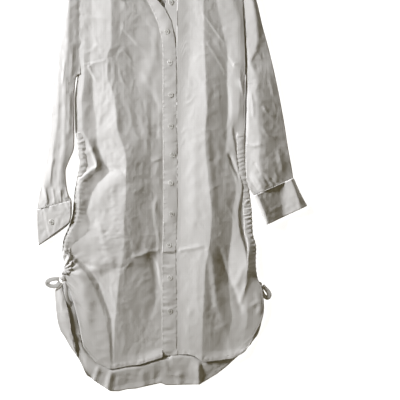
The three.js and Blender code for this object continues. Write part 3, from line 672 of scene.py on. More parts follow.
def betweenLines(lineAts, step):
    # columns that follow the fold lines, so that each fold has its own crisp edge
    ys = np.linspace(120, 940, 30)
    shares, starts = [], []
    for k, (a, b) in enumerate(zip(lineAts, lineAts[1:])):
        width = np.mean(b(ys) - a(ys))
        inner = spaced(width, step, min(0.9, width / 5))
        last = k == len(lineAts) - 2
        shares.append(inner if last else inner[:-1])
        starts.append(np.full(len(shares[-1]), k))
    shares, starts = np.concatenate(shares), np.concatenate(starts)

    def placeAt(y):
        lines = np.stack([line(y) for line in lineAts])
        before = starts[None, None, :] * np.ones((1, y.shape[0], 1), int)
        a = np.take_along_axis(lines, before, 0)[0]
        b = np.take_along_axis(lines, before + 1, 0)[0]
        return a * (1 - shares) + b * shares

    return placeAt, len(shares)


rightCreases = creases([
    # path, rise, left, right, sharp, ends
    ([(-106, 506), (-126, 488), (-145, 469), (-161, 446), (-173, 425), (-179, 408)],
     2.4, 30, 40, 0.2, (0.1, 0.3)),
    ([(-200, 753), (-172, 757), (-146, 764)], 1.0, 2.2, 14, 0.9, (0.1, 0.1)),
    ([(-196, 775), (-178, 786), (-163, 795), (-146, 772)], 0.6, 8, 12, 0.4, (0.4, 0.4)),
    ([(-176, 822), (-163, 793)], 0.6, 7, 10, 0.4, (0.4, 0.4)),
    ([(-188, 752), (-177, 730), (-165, 708)], 1.5, 14, 5, 0.6, (0.1, 0.4)),
    ([(-143, 764), (-144, 730), (-150, 697)], 0.8, 12, 9, 0.4, (0.2, 0.4)),
    ([(-124, 852), (-100, 826), (-76, 800), (-60, 785), (-52, 764), (-40, 758)],
     0.8, 34, 4, 0.5, (0.3, 0.55)),
    ([(-88, 752), (-70, 727), (-54, 700), (-36, 672), (-18, 640)], -1.3, 14, 24, 0.5, (0.45, 0.2)),
    ([(-121, 776), (-108, 786), (-99, 796)], 0.6, 9, 16, 0.3, (0.4, 0.4)),
    ([(-126, 755), (-128, 725), (-133, 690)], 0.5, 9, 11, 0.3, (0.3, 0.4)),
    ([(-58, 690), (-52, 640), (-50, 600), (-56, 545)], 1.0, 12, 16, 0.3, (0.3, 0.4)),
    ([(-26, 640), (-30, 600), (-26, 560)], -0.8, 12, 10, 0.3, (0.3, 0.4)),
    ([(-44, 529), (-30, 533), (-16, 538)], 1.1, 14, 6, 0.7, (0.3, 0.05)),
    ([(-27, 465), (-34, 407), (-26, 361), (-21, 327)], 0.9, 14, 11, 0.5, (0.4, 0.3)),
    ([(-50, 320), (-34, 292), (-27, 262), (-23, 235), (-22, 205)], -2.2, 8, 26, 0.5, (0.15, 0.4)),
    ([(-90, 311), (-70, 314), (-46, 323), (-20, 326)], 1.5, 10, 10, 0.9, (0.1, 0.1)),
    ([(-186, 577), (-168, 524), (-179, 511), (-198, 496), (-214, 483)], 3.2, 12, 7, 0.6, (0.2, 0.1)),
    ([(-192, 288), (-175, 283), (-161, 291), (-145, 297), (-119, 299)], 2.6, 40, 26, 0.5, (0.2, 0.2)),
    ([(-206, 300), (-186, 291), (-168, 289)], -2.0, 9, 8, 0.4, (0.3, 0.4)),
    ([(-168, 402), (-154, 361), (-143, 305)], 1.3, 10, 10, 0.9, (0.2, 0.3)),
    ([(-242, 327), (-226, 316), (-207, 300), (-189, 281)], -2.4, 8, 9, 0.4, (0.1, 0.4)),
    ([(-216, 285), (-202, 258), (-197, 230), (-198, 200), (-205, 172)],
     3.0, 30, 30, 0.2, (0.15, 0.55)),
    ([(-212, 207), (-193, 191), (-177, 184)], -1.5, 6, 7, 0.5, (0.2, 0.3)),
    ([(-176, 240), (-186, 180), (-184, 130)], 1.6, 18, 22, 0.3, (0.4, 0.4)),
]) + scattered(701, 80, (-200, -25), (90, 960), 0.5, 34, 1.9)
leftCreases = creases([
    ([(77, 868), (98, 838), (122, 804), (128, 790)], 1.0, 12, 3, 0.6, (0.15, 0.3)),
    ([(80, 812), (100, 778), (122, 742), (128, 722)], 0.8, 12, 3, 0.6, (0.15, 0.3)),
    ([(132, 778), (146, 754), (155, 734), (163, 706), (169, 676)], 1.6, 14, 5, 0.6, (0.2, 0.2)),
    ([(143, 748), (151, 756), (160, 764)], 0.9, 4, 8, 0.5, (0.2, 0.3)),
    ([(133, 553), (145, 522), (152, 506), (160, 490)], -2.4, 9, 7, 0.6, (0.2, 0.2)),
    ([(126, 560), (134, 520), (146, 492)], 0.8, 14, 14, 0.3, (0.3, 0.4)),
    ([(108, 352), (131, 272), (148, 236), (160, 198), (168, 172)], -2.8, 12, 18, 0.9, (0.35, 0.15)),
    ([(182, 262), (172, 240), (164, 214), (156, 190)], 1.6, 9, 9, 0.7, (0.3, 0.3)),
    ([(176, 300), (160, 262), (152, 240)], 1.4, 8, 12, 0.7, (0.3, 0.3)),
    ([(172, 370), (180, 341), (178, 290), (176, 262)], 2.2, 14, 8, 0.8, (0.3, 0.2)),
    ([(18, 325), (46, 330), (80, 337)], 1.6, 10, 10, 0.9, (0.1, 0.2)),
    ([(92, 340), (97, 300), (104, 235), (112, 190), (121, 150)], 2.2, 24, 14, 0.4, (0.3, 0.4)),
    ([(88, 600), (92, 520), (104, 430)], 0.9, 12, 12, 0.6, (0.3, 0.3)),
    ([(60, 680), (58, 600), (56, 480), (50, 350)], 0.9, 20, 20, 0.3, (0.3, 0.3)),
    ([(184, 196), (204, 210)], 1.5, 10, 10, 0.5, (0.3, 0.3)),
    ([(196, 240), (206, 200), (202, 170)], 2.0, 12, 8, 0.6, (0.3, 0.3)),
]) + scattered(711, 64, (30, 190), (90, 960), 0.45, 34, 1.9)

# The gathered channels over the side seams, and the ripples beside them.
casingLook = {
    "top": 596, "bottom": 272, "width": 19, "swell": 1.3,
    "wall": 0.9, "rows": 236, "across": 15,
    "above": 0.7,  # over the front that it is sewn to
    # pitch and depth of the puffs, above y 420 and below it
    "puffs": {"casing_right": (16, 1.5, 8, 1.2), "casing_left": (11.5, 0.6, 10.5, 0.75)},
    "ripplePitch": 10.5, "reachIn": 42, "rippleDepth": 0.9,
}


def gathers(distance, y, seed):
    # the ripples that a gathered casing sends into the cloth beside it
    waver = cloud(distance, y, 60, seed) * 5 + cloud(distance, y, 23, seed + 1) * 3
    wave = np.sin((y + waver + distance * 0.25) / casingLook["ripplePitch"] * 2 * np.pi)
    reach = casingLook["reachIn"] * (0.7 + 0.5 * cloud(y, y * 0, 31, seed + 2))
    fade = np.clip(1 - distance / reach, 0, 1) ** 1.5
    ends = smooth((y - casingLook["bottom"] + 16) / 24) * smooth((casingLook["top"] + 14 - y) / 40)
    return casingLook["rippleDepth"] * wave * fade * ends


def hemEdge(fromHem, x, seed):
    # a narrow turned hem, and the small puckers its stitching makes
    turned = 0.5 * smooth((9.5 - fromHem) / 1.5)
    puckers = 0.5 * cloud(x, fromHem * 0.5, 4.5, seed) * smooth((16 - fromHem) / 10)
    return turned + puckers


frontLook = {
    "step": 2.5, "rowStep": 2.3, "wall": 0.9,
    "flatZ": 3.4, "shoulderReach": 45,  # folds flatten out to flatZ below the shoulder seams
    "lowestZ": 3.2,
    "bow": (-246, 282), "bowReach": 22, "bowRipple": 1.3,  # gathers that fan out from the right bow
    "rightLift": 3.4, "leftLift": 2.4,  # how far the hems rise off the back
}
shoulderRight = table("x y", [[-202, 960], [-99, 994]])
shoulderLeft = table("x y", [[39, 994], [163, 966]])


def underShoulder(z, shoulder, x, y):
    below = smooth((straight(shoulder, "y", x) - y) / frontLook["shoulderReach"])
    flat = frontLook["flatZ"]
    return np.maximum(flat + (z - flat) * below, frontLook["lowestZ"])


def bowFan(x, y):
    bowX, bowY = frontLook["bow"]
    away = (np.hypot(x - bowX, y - bowY) - 24) / frontLook["bowReach"]
    turn = np.arctan2(y - bowY, x - bowX)
    return frontLook["bowRipple"] * np.exp(-(away**2)) * np.sin(13 * turn + 2 * cloud(x, y, 24, 33))


def rightFrontHeight(x, y, fromHem):
    plain = foldHeight(rightFolds, rightLines, x, y)
    side = along(rightFolds, "sideX", y)
    z = plain + creased(rightCreases, x, y) + gathers(x - side, y, 11) + bowFan(x, y)
    # wrinkles of three sizes, with a crumpled patch by the big fold and streaks over the chest
    z += 0.8 * crumple(x, y, 38, 21, 1.7) * smooth((x - side) / 30)
    z += 0.35 * crumple(x, y, 22, 25, 0.9) + 0.16 * crumple(x, y, 13, 41, 1.6)
    z += patch(x, y, -135, 370, 40, 90) * crumple(x, y, 13, 31, 0.8)
    z += 0.24 * cloud(x, y * 0.6, 18, 23)
    z += 0.55 * patch(x, y, -42, 720, 40, 75) * cloud(x + y * 0.12, y * 0.14, 10, 29)
    # calm beside the band's stitching
    calm = smooth((rightSeam(y) - x) / 14)
    z = plain * (1 - calm) + z * calm
    lift = (0.35 + 0.65 * smooth((x + 110) / 80)) * smooth((x + 128) / 30)
    z += frontLook["rightLift"] * lift * smooth((26 - fromHem) / 22) + hemEdge(fromHem, x, 27)
    return underShoulder(z, shoulderRight, x, y)


def leftFrontHeight(x, y, fromHem):
    # the big crest is crisp towards the band and softer on its far side
    soft = smooth((along(leftFolds, "crestX", y) - x - 3) / 14)
    z = foldHeight(leftFolds, leftLines, x, y) * (1 - soft)
    z += foldHeight(leftFolds, leftLines, x, y, 7) * soft
    side = along(leftFolds, "sideX", y)
    z += creased(leftCreases, x, y) + gathers(side - x, y, 51)
    away = smooth((side - x) / 30) * smooth((x - 24) / 20)
    z += (0.45 * crumple(x, y, 38, 61, 1.8) + 0.3 * crumple(x, y, 22, 65, 0.9)) * away
    z += 0.12 * crumple(x, y, 13, 81, 1.6) + 0.24 * cloud(x, y * 0.6, 18, 63)
    crumpled = 0.35 * cloud(x, y * 0.35, 9, 71) + 0.4 * crumple(x, y, 16, 73, 0.8)
    z += patch(x, y, 104, 190, 26, 80) * crumpled
    lift = smooth((x - 30) / 60) * smooth((184 - x) / 16) * smooth((24 - fromHem) / 20)
    z += frontLook["leftLift"] * lift + hemEdge(fromHem, x, 67)
    return underShoulder(z, shoulderLeft, x, y)


def rightSide(y):
    return along(rightFolds, "sideX", y)


def rightSeam(y):
    return straight(bandEdges, "outerX", y, "outerY") + tuckedUnder["right"]


def leftSeam(y):
    return straight(buttonBandEdges, "seamX", y, "y") - tuckedUnder["left"]


def leftSide(y):
    return along(leftFolds, "sideX", y)


def frontPiece(name, folds, lines, seamAt, hem, top, heightAt):
    def lineAt(line):
        return seamAt if line == "seam" else lambda y: along(folds, line + "X", y)

    placeAt, columns = betweenLines([lineAt(line) for line in lines], frontLook["step"])
    up = spaced(880, frontLook["rowStep"])  # the fronts are about 880 mm long
    x, y, fromHem = panelGrid(placeAt, columns, hem, top, up)
    grid = np.stack([x, y, heightAt(x, y, fromHem)], -1)
    return clothPiece(name, grid, "linen_body", frontLook["wall"])


frontRight = frontPiece(
    "front_right", rightFolds, rightLines, rightSeam, rightHem, rightTop, rightFrontHeight)
frontLeft = frontPiece(
    "front_left", leftFolds, leftLines, leftSeam, leftHem, leftTop, leftFrontHeight)
print("fronts laid")

# The buttonhole band over the button band, both cut straight and pressed flat.
bandLook = {
    "width": 33, "across": 17, "rows": 392, "wall": 0.9,
    "pucker": 0.4, "buckle": 0.7, "ripple": 0.75, "crown": 0.4,
    "foldY": 320, "foldStep": 1.3,  # a pressed fold across the band
}


def bandSurface(u, y, seed):
    # puckers along both stitched edges, slow buckles between the buttons and one pressed fold
    edge = np.minimum(u, 1 - u)
    inner = np.sin(np.pi * np.clip(u, 0, 1))
    pucker = cloud(u * 9, y, 4.6, seed) * np.exp(-(((edge - 0.08) / 0.14) ** 2))
    buckle = (cloud(u * 12, y, 38, seed + 1) + 0.5 * cloud(u * 22, y, 13, seed + 2)) * inner
    away = y - bandLook["foldY"]
    step = bandLook["foldStep"] * smooth(1 - np.abs(away) / 26) * np.where(away > 0, 1, -0.4)
    low = 0.35 + 0.65 * smooth((330 - y) / 30)
    ripple = low * cloud(u * 7, y, 8, seed + 3) * smooth((0.95 - u) / 0.5)
    puckers = bandLook["pucker"] * pucker + bandLook["ripple"] * ripple
    return puckers + bandLook["buckle"] * buckle + bandLook["crown"] * inner + step * inner**0.3


def bandPlace(rows, u, y, columns):
    # a place on a band, from its share across and its height up the sewn edge
    ax, ay, bx, by, z, lean = [
        straight(rows, column, y, columns[1]) for column in (*columns, "z", "lean")]
    return ax * (1 - u) + bx * u, y + (by - ay) * u, z + u * lean


def bandPiece(name, rows, columns, low, high, seed, lift):
    across = spaced(bandLook["width"], bandLook["width"] / bandLook["across"])
    u, y = np.meshgrid(across, np.linspace(low, high, bandLook["rows"]))
    px, py, z = bandPlace(rows, u, y, columns)
    z = z + bandSurface(u, y, seed) * lift
    return clothPiece(name, np.stack([px, py, z], -1), "linen_bands", bandLook["wall"])


# the columns of one edge and then of the other
rightBandColumns = ("outerX", "outerY", "freeX", "freeY")
leftBandColumns = ("freeX", "y", "seamX", "y")
placketRight = bandPiece("placket_right", bandEdges, rightBandColumns, 83, 948, 101, 1.0)
placketLeft = bandPiece("placket_left", buttonBandEdges, leftBandColumns, 88, 943, 111, 0.15)
print("bands sewn")

# The back: flat under the fronts, its hem showing below them, and below the slit its edge
# turned forward over itself.
backSides = table("y leftX rightX", [
    [1005, -201, 162],
    [902, -204, 165.5],
    [729, -208, 173],
    [672, -216, 172],
    [600, -213.5, 171.6],
    [570, -209, 171],
    [534, -205.5, 170.4],
    [500, -208, 173],
    [465, -215, 177],
    [407, -215, 187],
    [350, -240, 189],
    [292, -240, 196],
    [253, -248, 203],
    [230, -264, 207],
    [200, -262, 211],
    [168, -258, 211],
    [143, -251, 206],
    [131, -243, 201],
    [108, -230, 186],
    [80, -212, 186],
])
backHem = table("x y", [
    [-212, 80], [-191, 39], [-162, 18], [-136, 2], [-118, 2], [-98, 7], [-80, 8], [-21, 21],
    [-9, 16], [69, 18], [107, 41], [128, 57], [151, 78], [186, 110],
])
backTop = table("x y", [[-201, 960], [-99, 994], [-60, 989], [0, 989], [39, 994], [162, 966]])
turnedEdge = table("y width", [
    [253, 0], [230, 20], [212, 24], [177, 30], [154, 29], [108, 13], [80, 0],
])
backCreases = creases([
    ([(-143, -6), (-141, 22), (-130, 60)], 3.4, 12, 14, 0.5, (0.02, 0.5)),
    ([(69, 10), (69, 40), (66, 78)], 4.5, 30, 5, 0.7, (0.02, 0.4)),
    ([(-176, 22), (-168, 44), (-160, 70)], 2.5, 9, 9, 0.4, (0.05, 0.5)),
    ([(20, 12), (24, 40), (22, 70)], 1.6, 16, 14, 0.3, (0.05, 0.5)),
    ([(-60, 8), (-62, 30), (-58, 58)], 1.4, 16, 14, 0.3, (0.05, 0.5)),
    ([(120, 50), (108, 62), (98, 76)], 1.8, 8, 10, 0.4, (0.05, 0.5)),
    ([(-246, 124), (-226, 84), (-200, 50), (-176, 26)], 6.4, 5, 38, 0.3, (0.3, 0.3)),
])
backLook = {
    "wall": 0.9, "rest": 1.0,
    "across": 112, "hemRows": 110, "upperRows": 88,
    "flapRise": 3.2, "bend": 0.65,  # the turned edge above the cloth under it, and its fold
    "tilt": 4.8,  # how far the strip below the fronts rises from its hem to them
}


def backHeight(x, y):
    # only the strip below the fronts is free to lift; the rest lies flat under them
    front = np.where(x < 0, straight(rightHem, "y", x), straight(leftHem, "y", x))
    beside = smooth((-200 - x) / 24)
    free = smooth((front + 10 + 100 * beside - y) / (18 + 80 * beside))
    z = creased(backCreases, x, y)
    z += 0.5 * (1 + cloud(x, y, 14, 201)) + 0.7 * (1 + crumple(x, y, 17, 209, 1.2))
    z += 0.35 * (1 + cloud(x, y * 0.6, 5, 203)) * smooth((34 - y) / 30)
    fromHem = y - straight(backHem, "y", x)
    z += backLook["tilt"] * smooth(fromHem / 52) + 0.4 * smooth((9 - fromHem) / 1.5)
    # at the open neck, the inside of the back lies a little higher
    inside = 0.4 * (1 + cloud(x, y, 30, 205)) * smooth((y - 900) / 40)
    inside += 4.0 * smooth((y - 885) / 40) * np.exp(-(((x + 14) / 26) ** 2))
    return backLook["rest"] + z * free + inside


def backPiece():
    across = np.linspace(0, 1, backLook["across"])[None]
    up = np.concatenate([
        np.linspace(0, 0.3, backLook["hemRows"]), np.linspace(0.312, 1, backLook["upperRows"])])

    def placeAt(y):
        return along(backSides, "leftX", y) * (1 - across) + along(backSides, "rightX", y) * across

    x, y, _ = panelGrid(placeAt, backLook["across"], backHem, backTop, up)
    base = np.stack([x, y, backHeight(x, y)], -1)
    # the turned edge comes first in each row: from its hem back to the fold
    foldX, foldY = x[:, :1], y[:, :1]
    width = straight(turnedEdge, "width", foldY, "y") * ((foldY < 253) & (foldY > 80))
    share = np.linspace(1, 0, 16)[None]
    turned = smooth(width / 12)
    ripple = 0.9 * crumple(foldX + share * 30, foldY, 15, 207, 1.3) * share * turned
    flapX = foldX + width * share + 0.05 * (1 - share)
    rise = backLook["wall"] + backLook["flapRise"] * smooth(share / 0.75) + ripple
    flap = np.stack([flapX, foldY + 0 * share, base[:, :1, 2] + rise * turned], -1)
    bendZ = base[:, :1, 2] + backLook["bend"] * turned
    bend = np.stack([foldX - 0.5 * turned, foldY, bendZ], -1)
    base[:, 0, 0] += 0.08
    grid = np.concatenate([flap, bend, base], 1)
    return clothPiece("back_panel", grid, "linen_body", backLook["wall"])


backPanel = backPiece()
print("back laid")

# Each sleeve is a flattened tube. A row of its edges gives where one section of it lies, from
# the outer fold to the inner one; the fold lines give the height of its upper layer.
# baseZ is the height of its lower layer, and its rim lies rimRise above that.
sleeveLook = {"step": 2.3, "wall": 0.9, "round": 1.5, "under": 9, "rimRise": 1.6}
rightEdges = table("s outerX outerY innerX innerY", [
    [0, -199.8, 961, -206, 729],
    [1, -225, 925, -212, 727],
    [2, -248, 856, -216, 722],
    [3, -258.5, 791, -218.6, 704],
    [4, -265.5, 729, -220, 672],
    [5, -270, 660, -220, 628],
    [6, -276, 584, -220, 568],
    [7, -287, 511, -240, 506],
    [8, -301, 452, -235, 460],
    [9, -306, 420, -226.5, 441],
])
rightSleeveLines = ("outer", "swell", "groove", "crest", "foot", "inner")
rightSleeveFolds = foldTable(rightSleeveLines, [
    [960, -206, 5, -205, 5, -204, 6, -203, 6, -202, 6, -201, 6],
    [925, -226, 5, -222, 7.4, -219, 9.2, -216, 10.2, -211, 8.6, -205, 7],
    [902, -238, 5, -236, 7.4, -234.5, 9.4, -232, 11, -215, 9, -206, 7],
    [856, -248, 4.5, -243, 7.6, -238.5, 9.8, -233.5, 11.4, -216, 9.4, -207, 7.6],
    [787, -259, 4, -252, 7.4, -243, 10, -235, 12, -218, 9.4, -208, 7.6],
    [729, -265, 4, -256, 7.8, -246, 10, -239, 11.4, -221, 9.2, -211, 7.6],
    [672, -269, 4, -258, 8.4, -249, 9.2, -240.5, 10.8, -228, 9.4, -220, 8.2],
    [648, -270.5, 4, -258.5, 8.4, -247.5, 9, -240.5, 10.6, -228, 9.4, -220, 8.2],
    [603, -274, 4, -262, 8.2, -248.5, 8.8, -241.5, 10.4, -229, 9.2, -219, 8.2],
    [557, -280, 4, -268, 8.2, -252, 8.8, -244, 10.4, -234, 9.4, -223, 8.4],
    [511, -287, 4, -277, 8, -259, 8.8, -249.5, 10.4, -244, 9.8, -240.6, 8.6],
    [476, -296, 4, -284, 8, -266, 8.8, -253, 10.4, -244.5, 9.8, -238, 8.6],
    [441, -304, 4, -292, 7.8, -275, 8.6, -259, 10.2, -243, 10.2, -228, 9],
    [400, -307, 4, -296, 7.6, -281, 8.6, -262, 10.2, -240, 10.2, -226, 9],
])
leftEdges = table("s outerX outerY innerX innerY", [
    [0, 164.6, 969, 173.6, 731],
    [1, 180, 943, 174.2, 729],
    [2, 197.5, 902, 174.6, 724],
    [3, 212.5, 840, 174, 708],
    [4, 230, 775, 173.6, 683],
    [5, 246, 704, 173, 653],
    [6, 262, 620, 173, 600],
    [7, 271, 561, 173.6, 534],
    [8, 279.5, 515, 176, 483],
    [9, 283, 492, 192, 452],
])
leftSleeveLines = ("inner", "rise", "ridge", "lip", "outer")
leftSleeveFolds = foldTable(leftSleeveLines, [
    [960, 164, 6.5, 166, 6.8, 168, 7, 170, 6.5, 172, 6],
    [930, 166, 6.5, 174, 8.5, 184, 10.5, 187, 9, 189, 6],
    [902, 168, 6.5, 178, 9, 190, 12, 194, 10.2, 198, 6],
    [848, 170.5, 7, 182, 9.4, 199, 12.4, 203.5, 10.6, 214, 6.5],
    [809, 172, 7, 184, 9.4, 202, 12.4, 206.5, 10.2, 223, 6.5],
    [780, 174, 7, 182, 9.5, 195, 12.2, 200, 10.2, 229, 6],
    [757, 176, 6.5, 179, 8.2, 183.5, 10.8, 188, 10, 234, 6],
    [729, 176, 8, 184, 9.6, 196, 12, 204, 11.4, 243, 5.2],
    [695, 174.5, 6, 180, 9.6, 198, 13.4, 206, 13, 249, 4.8],
    [672, 173.5, 3.4, 178.4, 9.8, 200, 14.4, 209, 13.8, 253.6, 4.4],
    [614, 173.2, 3.4, 178, 9.8, 202, 15.4, 213, 14.6, 262, 4.2],
    [580, 173, 6.8, 179, 9.6, 206, 15.8, 218, 15, 267, 4.2],
    [534, 173, 8.4, 183, 10.2, 204, 17, 216, 16.4, 278, 4.2],
    [488, 176, 7.6, 186, 10.4, 204, 17.4, 215, 16.8, 281, 4.2],
    [440, 198, 6, 212, 10, 228, 13.6, 244, 11.6, 305, 5],
])
rightSleeveCreases = creases([
    ([(-240, 770), (-243, 735), (-247, 700)], 0.9, 5, 6, 0.6, (0.3, 0.3)),
    ([(-254, 700), (-256, 640), (-262, 560)], 0.4, 7, 8, 0.4, (0.3, 0.4)),
    ([(-228, 690), (-230, 640), (-232, 580)], 0.8, 8, 8, 0.4, (0.3, 0.3)),
    ([(-222, 800), (-224, 760), (-228, 710)], 0.8, 8, 10, 0.4, (0.3, 0.3)),
    ([(-266, 545), (-272, 510), (-276, 470)], 1.2, 6, 8, 0.5, (0.2, 0.3)),
    ([(-292, 480), (-284, 455), (-280, 430)], 1.3, 6, 7, 0.6, (0.2, 0.1)),
    ([(-270, 474), (-266, 452), (-264, 432)], 1.2, 6, 7, 0.6, (0.3, 0.1)),
    ([(-252, 468), (-250, 452), (-249, 436)], 1.0, 5, 6, 0.6, (0.3, 0.1)),
    ([(-240, 474), (-236, 458), (-234, 445)], 1.0, 5, 6, 0.6, (0.3, 0.1)),
])
leftSleeveCreases = creases([
    ([(172, 572), (190, 566), (214, 569)], 2.2, 7, 8, 0.8, (0.15, 0.3)),
    ([(190, 530), (200, 515), (208, 494)], -1.2, 8, 9, 0.7, (0.2, 0.3)),
    ([(224, 724), (234, 700), (238, 676)], 1.0, 14, 8, 0.4, (0.3, 0.3)),
    ([(196, 790), (206, 770), (216, 764)], 0.8, 10, 10, 0.4, (0.3, 0.3)),
    ([(244, 566), (254, 530), (260, 496)], 1.5, 14, 12, 0.4, (0.3, 0.3)),
    ([(210, 660), (226, 640), (246, 632)], 1.6, 8, 8, 0.7, (0.3, 0.3)),
    ([(208, 610), (228, 590), (256, 586)], 1.4, 8, 8, 0.7, (0.3, 0.3)),
    ([(186, 500), (206, 482), (222, 470)], 1.0, 12, 10, 0.5, (0.3, 0.1)),
    ([(230, 540), (240, 512), (246, 480)], 0.8, 12, 12, 0.4, (0.3, 0.1)),
    ([(184, 700), (190, 660), (192, 620)], 1.2, 8, 8, 0.6, (0.3, 0.3)),
])


def tubePiece(name, edges, top, slot, baseZ, mirrored=False, mouth=0.0):
    # one flattened tube: its upper layer from the height given, its lower one flat
    last = edges["s"].max()
    middleX = (edges["outerX"] + edges["innerX"]) / 2
    middleY = (edges["outerY"] + edges["innerY"]) / 2
    length = np.hypot(np.diff(middleX), np.diff(middleY)).sum()
    s = np.linspace(0, last, round(length / sleeveLook["step"]) + 1)
    ox, oy, ix, iy = [along(edges, column, s, "s")[:, None]
                      for column in ("outerX", "outerY", "innerX", "innerY")]

    def crossing(share):
        return ox * (1 - share) + ix * share, oy * (1 - share) + iy * share

    width = np.hypot(ix - ox, iy - oy)
    count = max(24, round(width.max() / sleeveLook["step"]))
    rim = 0.5 - 0.5 * np.cos(np.linspace(0, np.pi, count))
    t = (0.55 * np.linspace(0, 1, count) + 0.45 * rim)[None]
    x, y = crossing(t)
    inset = np.minimum(t, 1 - t) * width
    bow = np.sqrt(np.clip(1 - (1 - np.clip(inset / sleeveLook["round"], 0, 1)) ** 2, 0, 1))
    rimZ = baseZ + sleeveLook["rimRise"]
    upper = rimZ + (np.maximum(top(x, y), rimZ + 1) - rimZ) * bow
    under = np.linspace(1, 0, sleeveLook["under"] + 2)[None, 1:-1]
    ux, uy = crossing(under)
    lower = baseZ + 0 * ux + 0.15 + 0.4 * np.abs(2 * under - 1) ** 6
    # the lower layer reaches a little further at the mouth
    uy = uy - mouth * smooth((s / last)[:, None] * 2 - 1) * smooth(under * 1.5)
    ring = np.concatenate([np.stack([x, y, upper], -1), np.stack([ux, uy, lower], -1)], 1)
    if mirrored:
        ring = ring[:, ::-1]
    return clothPiece(name, ring, slot, sleeveLook["wall"], True)


def sleeveTop(folds, lines, soften, found, size, seed, gatherAt):
    # the height of a sleeve's upper layer, which is gathered where it meets its cuff
    def top(x, y):
        z = foldHeight(folds, lines, x, y, soften) + creased(found, x, y)
        z += 0.45 * crumple(x, y, size, seed, 1.5)
        return z + 0.3 * cloud(x, y, 9, seed + 4) + gatherAt(x, y)

    return top


rightSleeveTop = sleeveTop(
    rightSleeveFolds, rightSleeveLines, 2.4, rightSleeveCreases, 24, 301,
    lambda x, y: 0.5 * cloud(x, y * 0.25, 8, 307) * smooth((500 - y) / 50))
leftSleeveTop = sleeveTop(
    leftSleeveFolds, leftSleeveLines, 2.8, leftSleeveCreases, 26, 311,
    lambda x, y: 0.7 * cloud(x + y * 0.6, y * 0.3, 7, 317) * smooth((530 - y) / 50))


sleeveRight = tubePiece("sleeve_right", rightEdges, rightSleeveTop, "linen_body", 0.9)
sleeveLeft = tubePiece("sleeve_left", leftEdges, leftSleeveTop, "linen_body", 0.8, True)

rightCuffEdges = table("s outerX outerY innerX innerY", [
    [0, -306.6, 419.2, -225.8, 440.6],
    [1, -306, 382, -225.4, 416],
    [2, -302, 336, -229, 391],
])
leftCuffEdges = table("s outerX outerY innerX innerY", [
    [0, 284, 491.7, 192.6, 451.5],
    [1, 298, 460, 207, 416],
    [2, 315, 428, 221, 384],
])
# where the cuff's buttoned end lies over its other end
rightLap = table("x y", [[-291, 420], [-284, 391], [-276, 352]])
rightCuffLook = {"outerZ": 4.2, "rise": 7.6, "lapStep": 1.0}


def cuffWrinkles(x, y, seed):
    return 0.5 * crumple(x, y, 16, seed, 1.3) + 0.35 * cloud(x, y, 7, seed + 4)


def rightCuffTop(x, y):
    lap = x - straight(rightLap, "x", y, "y")
    z = rightCuffLook["outerZ"] + rightCuffLook["lapStep"] * smooth(lap / 2.4 + 0.5)
    z += rightCuffLook["rise"] * np.clip((x + 304) / 78, 0, 1) + cuffWrinkles(x, y, 331)
    return z + 0.7 * cloud(x + y * 0.4, y * 0.3, 5, 333) * smooth((y - 404) / 24)


leftCuffLines = ("inner", "brow", "valley", "ridge", "outer")
leftCuffFolds = foldTable(leftCuffLines, [
    [490, 176, 8, 183, 17, 252, 5.2, 279, 11, 283, 6],
    [453, 191, 9, 198, 19, 256, 4.7, 292, 12, 299, 5.5],
    [428, 202, 9, 209, 19.4, 260, 4.6, 299, 12, 315, 5.5],
    [395, 215, 8, 222, 17.4, 262, 4.6, 305, 11.5, 321, 5.5],
])


def leftCuffTop(x, y):
    return foldHeight(leftCuffFolds, leftCuffLines, x, y) + cuffWrinkles(x, y, 341)


cuffRight = tubePiece(
    "cuff_right", rightCuffEdges, rightCuffTop, "linen_bands", 0.9, False, 4.0)
cuffLeft = tubePiece("cuff_left", leftCuffEdges, leftCuffTop, "linen_bands", 3.0, True)
print("sleeves laid")


def casingHeight(name, share, y, seed):
    # uneven puffs of gathered cloth, some close together and some further apart
    pitch, depth, lowPitch, lowDepth = casingLook["puffs"][name]
    waver = 7 * cloud(y * 0 + 3, y, 31, seed) + 2.5 * cloud(y * 0 + 5, y, 12, seed + 3)
    waver = waver + share * 4 + 4 * cloud(share * 14, y, 9, seed + 4)
    depth = depth + (lowDepth - depth) * smooth((430 - y) / 60)
    pitch = np.where(y > 420, pitch, lowPitch)
    wave = np.sin((y + waver) / pitch * 2 * np.pi)
    strength = 0.5 + 0.5 * cloud(y * 0 + 8, y, 26, seed + 5)
    fine = cloud(share * 9, y, 3.6, seed + 1)
    edge = np.sin(np.pi * np.clip(share, 0, 1)) ** 0.55
    return casingLook["swell"] * edge + depth * (wave * strength + 0.4 * fine) * (0.35 + 0.65 * edge)


# Height of the flat of each casing, how far in it lies and how much it rides on the front's own
# shape: part of the right one has rolled in under the front.
casingSeats = {
    "casing_right": table("y z tuck over", [
        [272, 9.2, 0, 1], [300, 10.2, 0, 1], [320, 10, 0, 1], [342, 3, 3, 0], [380, 2.6, 4, 0],
        [470, 3, 4, 0], [486, 5, 2, 0], [500, 8.4, 0, 0], [520, 9, 0, 0], [560, 8.8, 0, 0],
        [580, 7.6, 0, 0], [596, 6, 0, 0],
    ]),
    "casing_left": table("y z tuck over", [
        [272, 9.4, 0, 1], [300, 8.8, 0, 1], [366, 7.6, 0, 1], [412, 7.4, 0, 1], [460, 7.6, 0, 0],
        [511, 7.8, 0, 0], [560, 8.4, 0, 0], [580, 8.8, 0, 0], [596, 8.4, 0, 0],
    ]),
}


def casingSurface(name, share, x, y, seed):
    seats = casingSeats[name]
    frontHeight = rightFrontHeight if name == "casing_right" else leftFrontHeight
    front = frontHeight(x, y, 200 + 0 * y)  # well above the hem
    over = straight(seats, "over", y, "y")
    flat = along(seats, "z", y) * (1 - over) + (front + casingLook["above"]) * over
    return flat + casingHeight(name, share, y, seed)


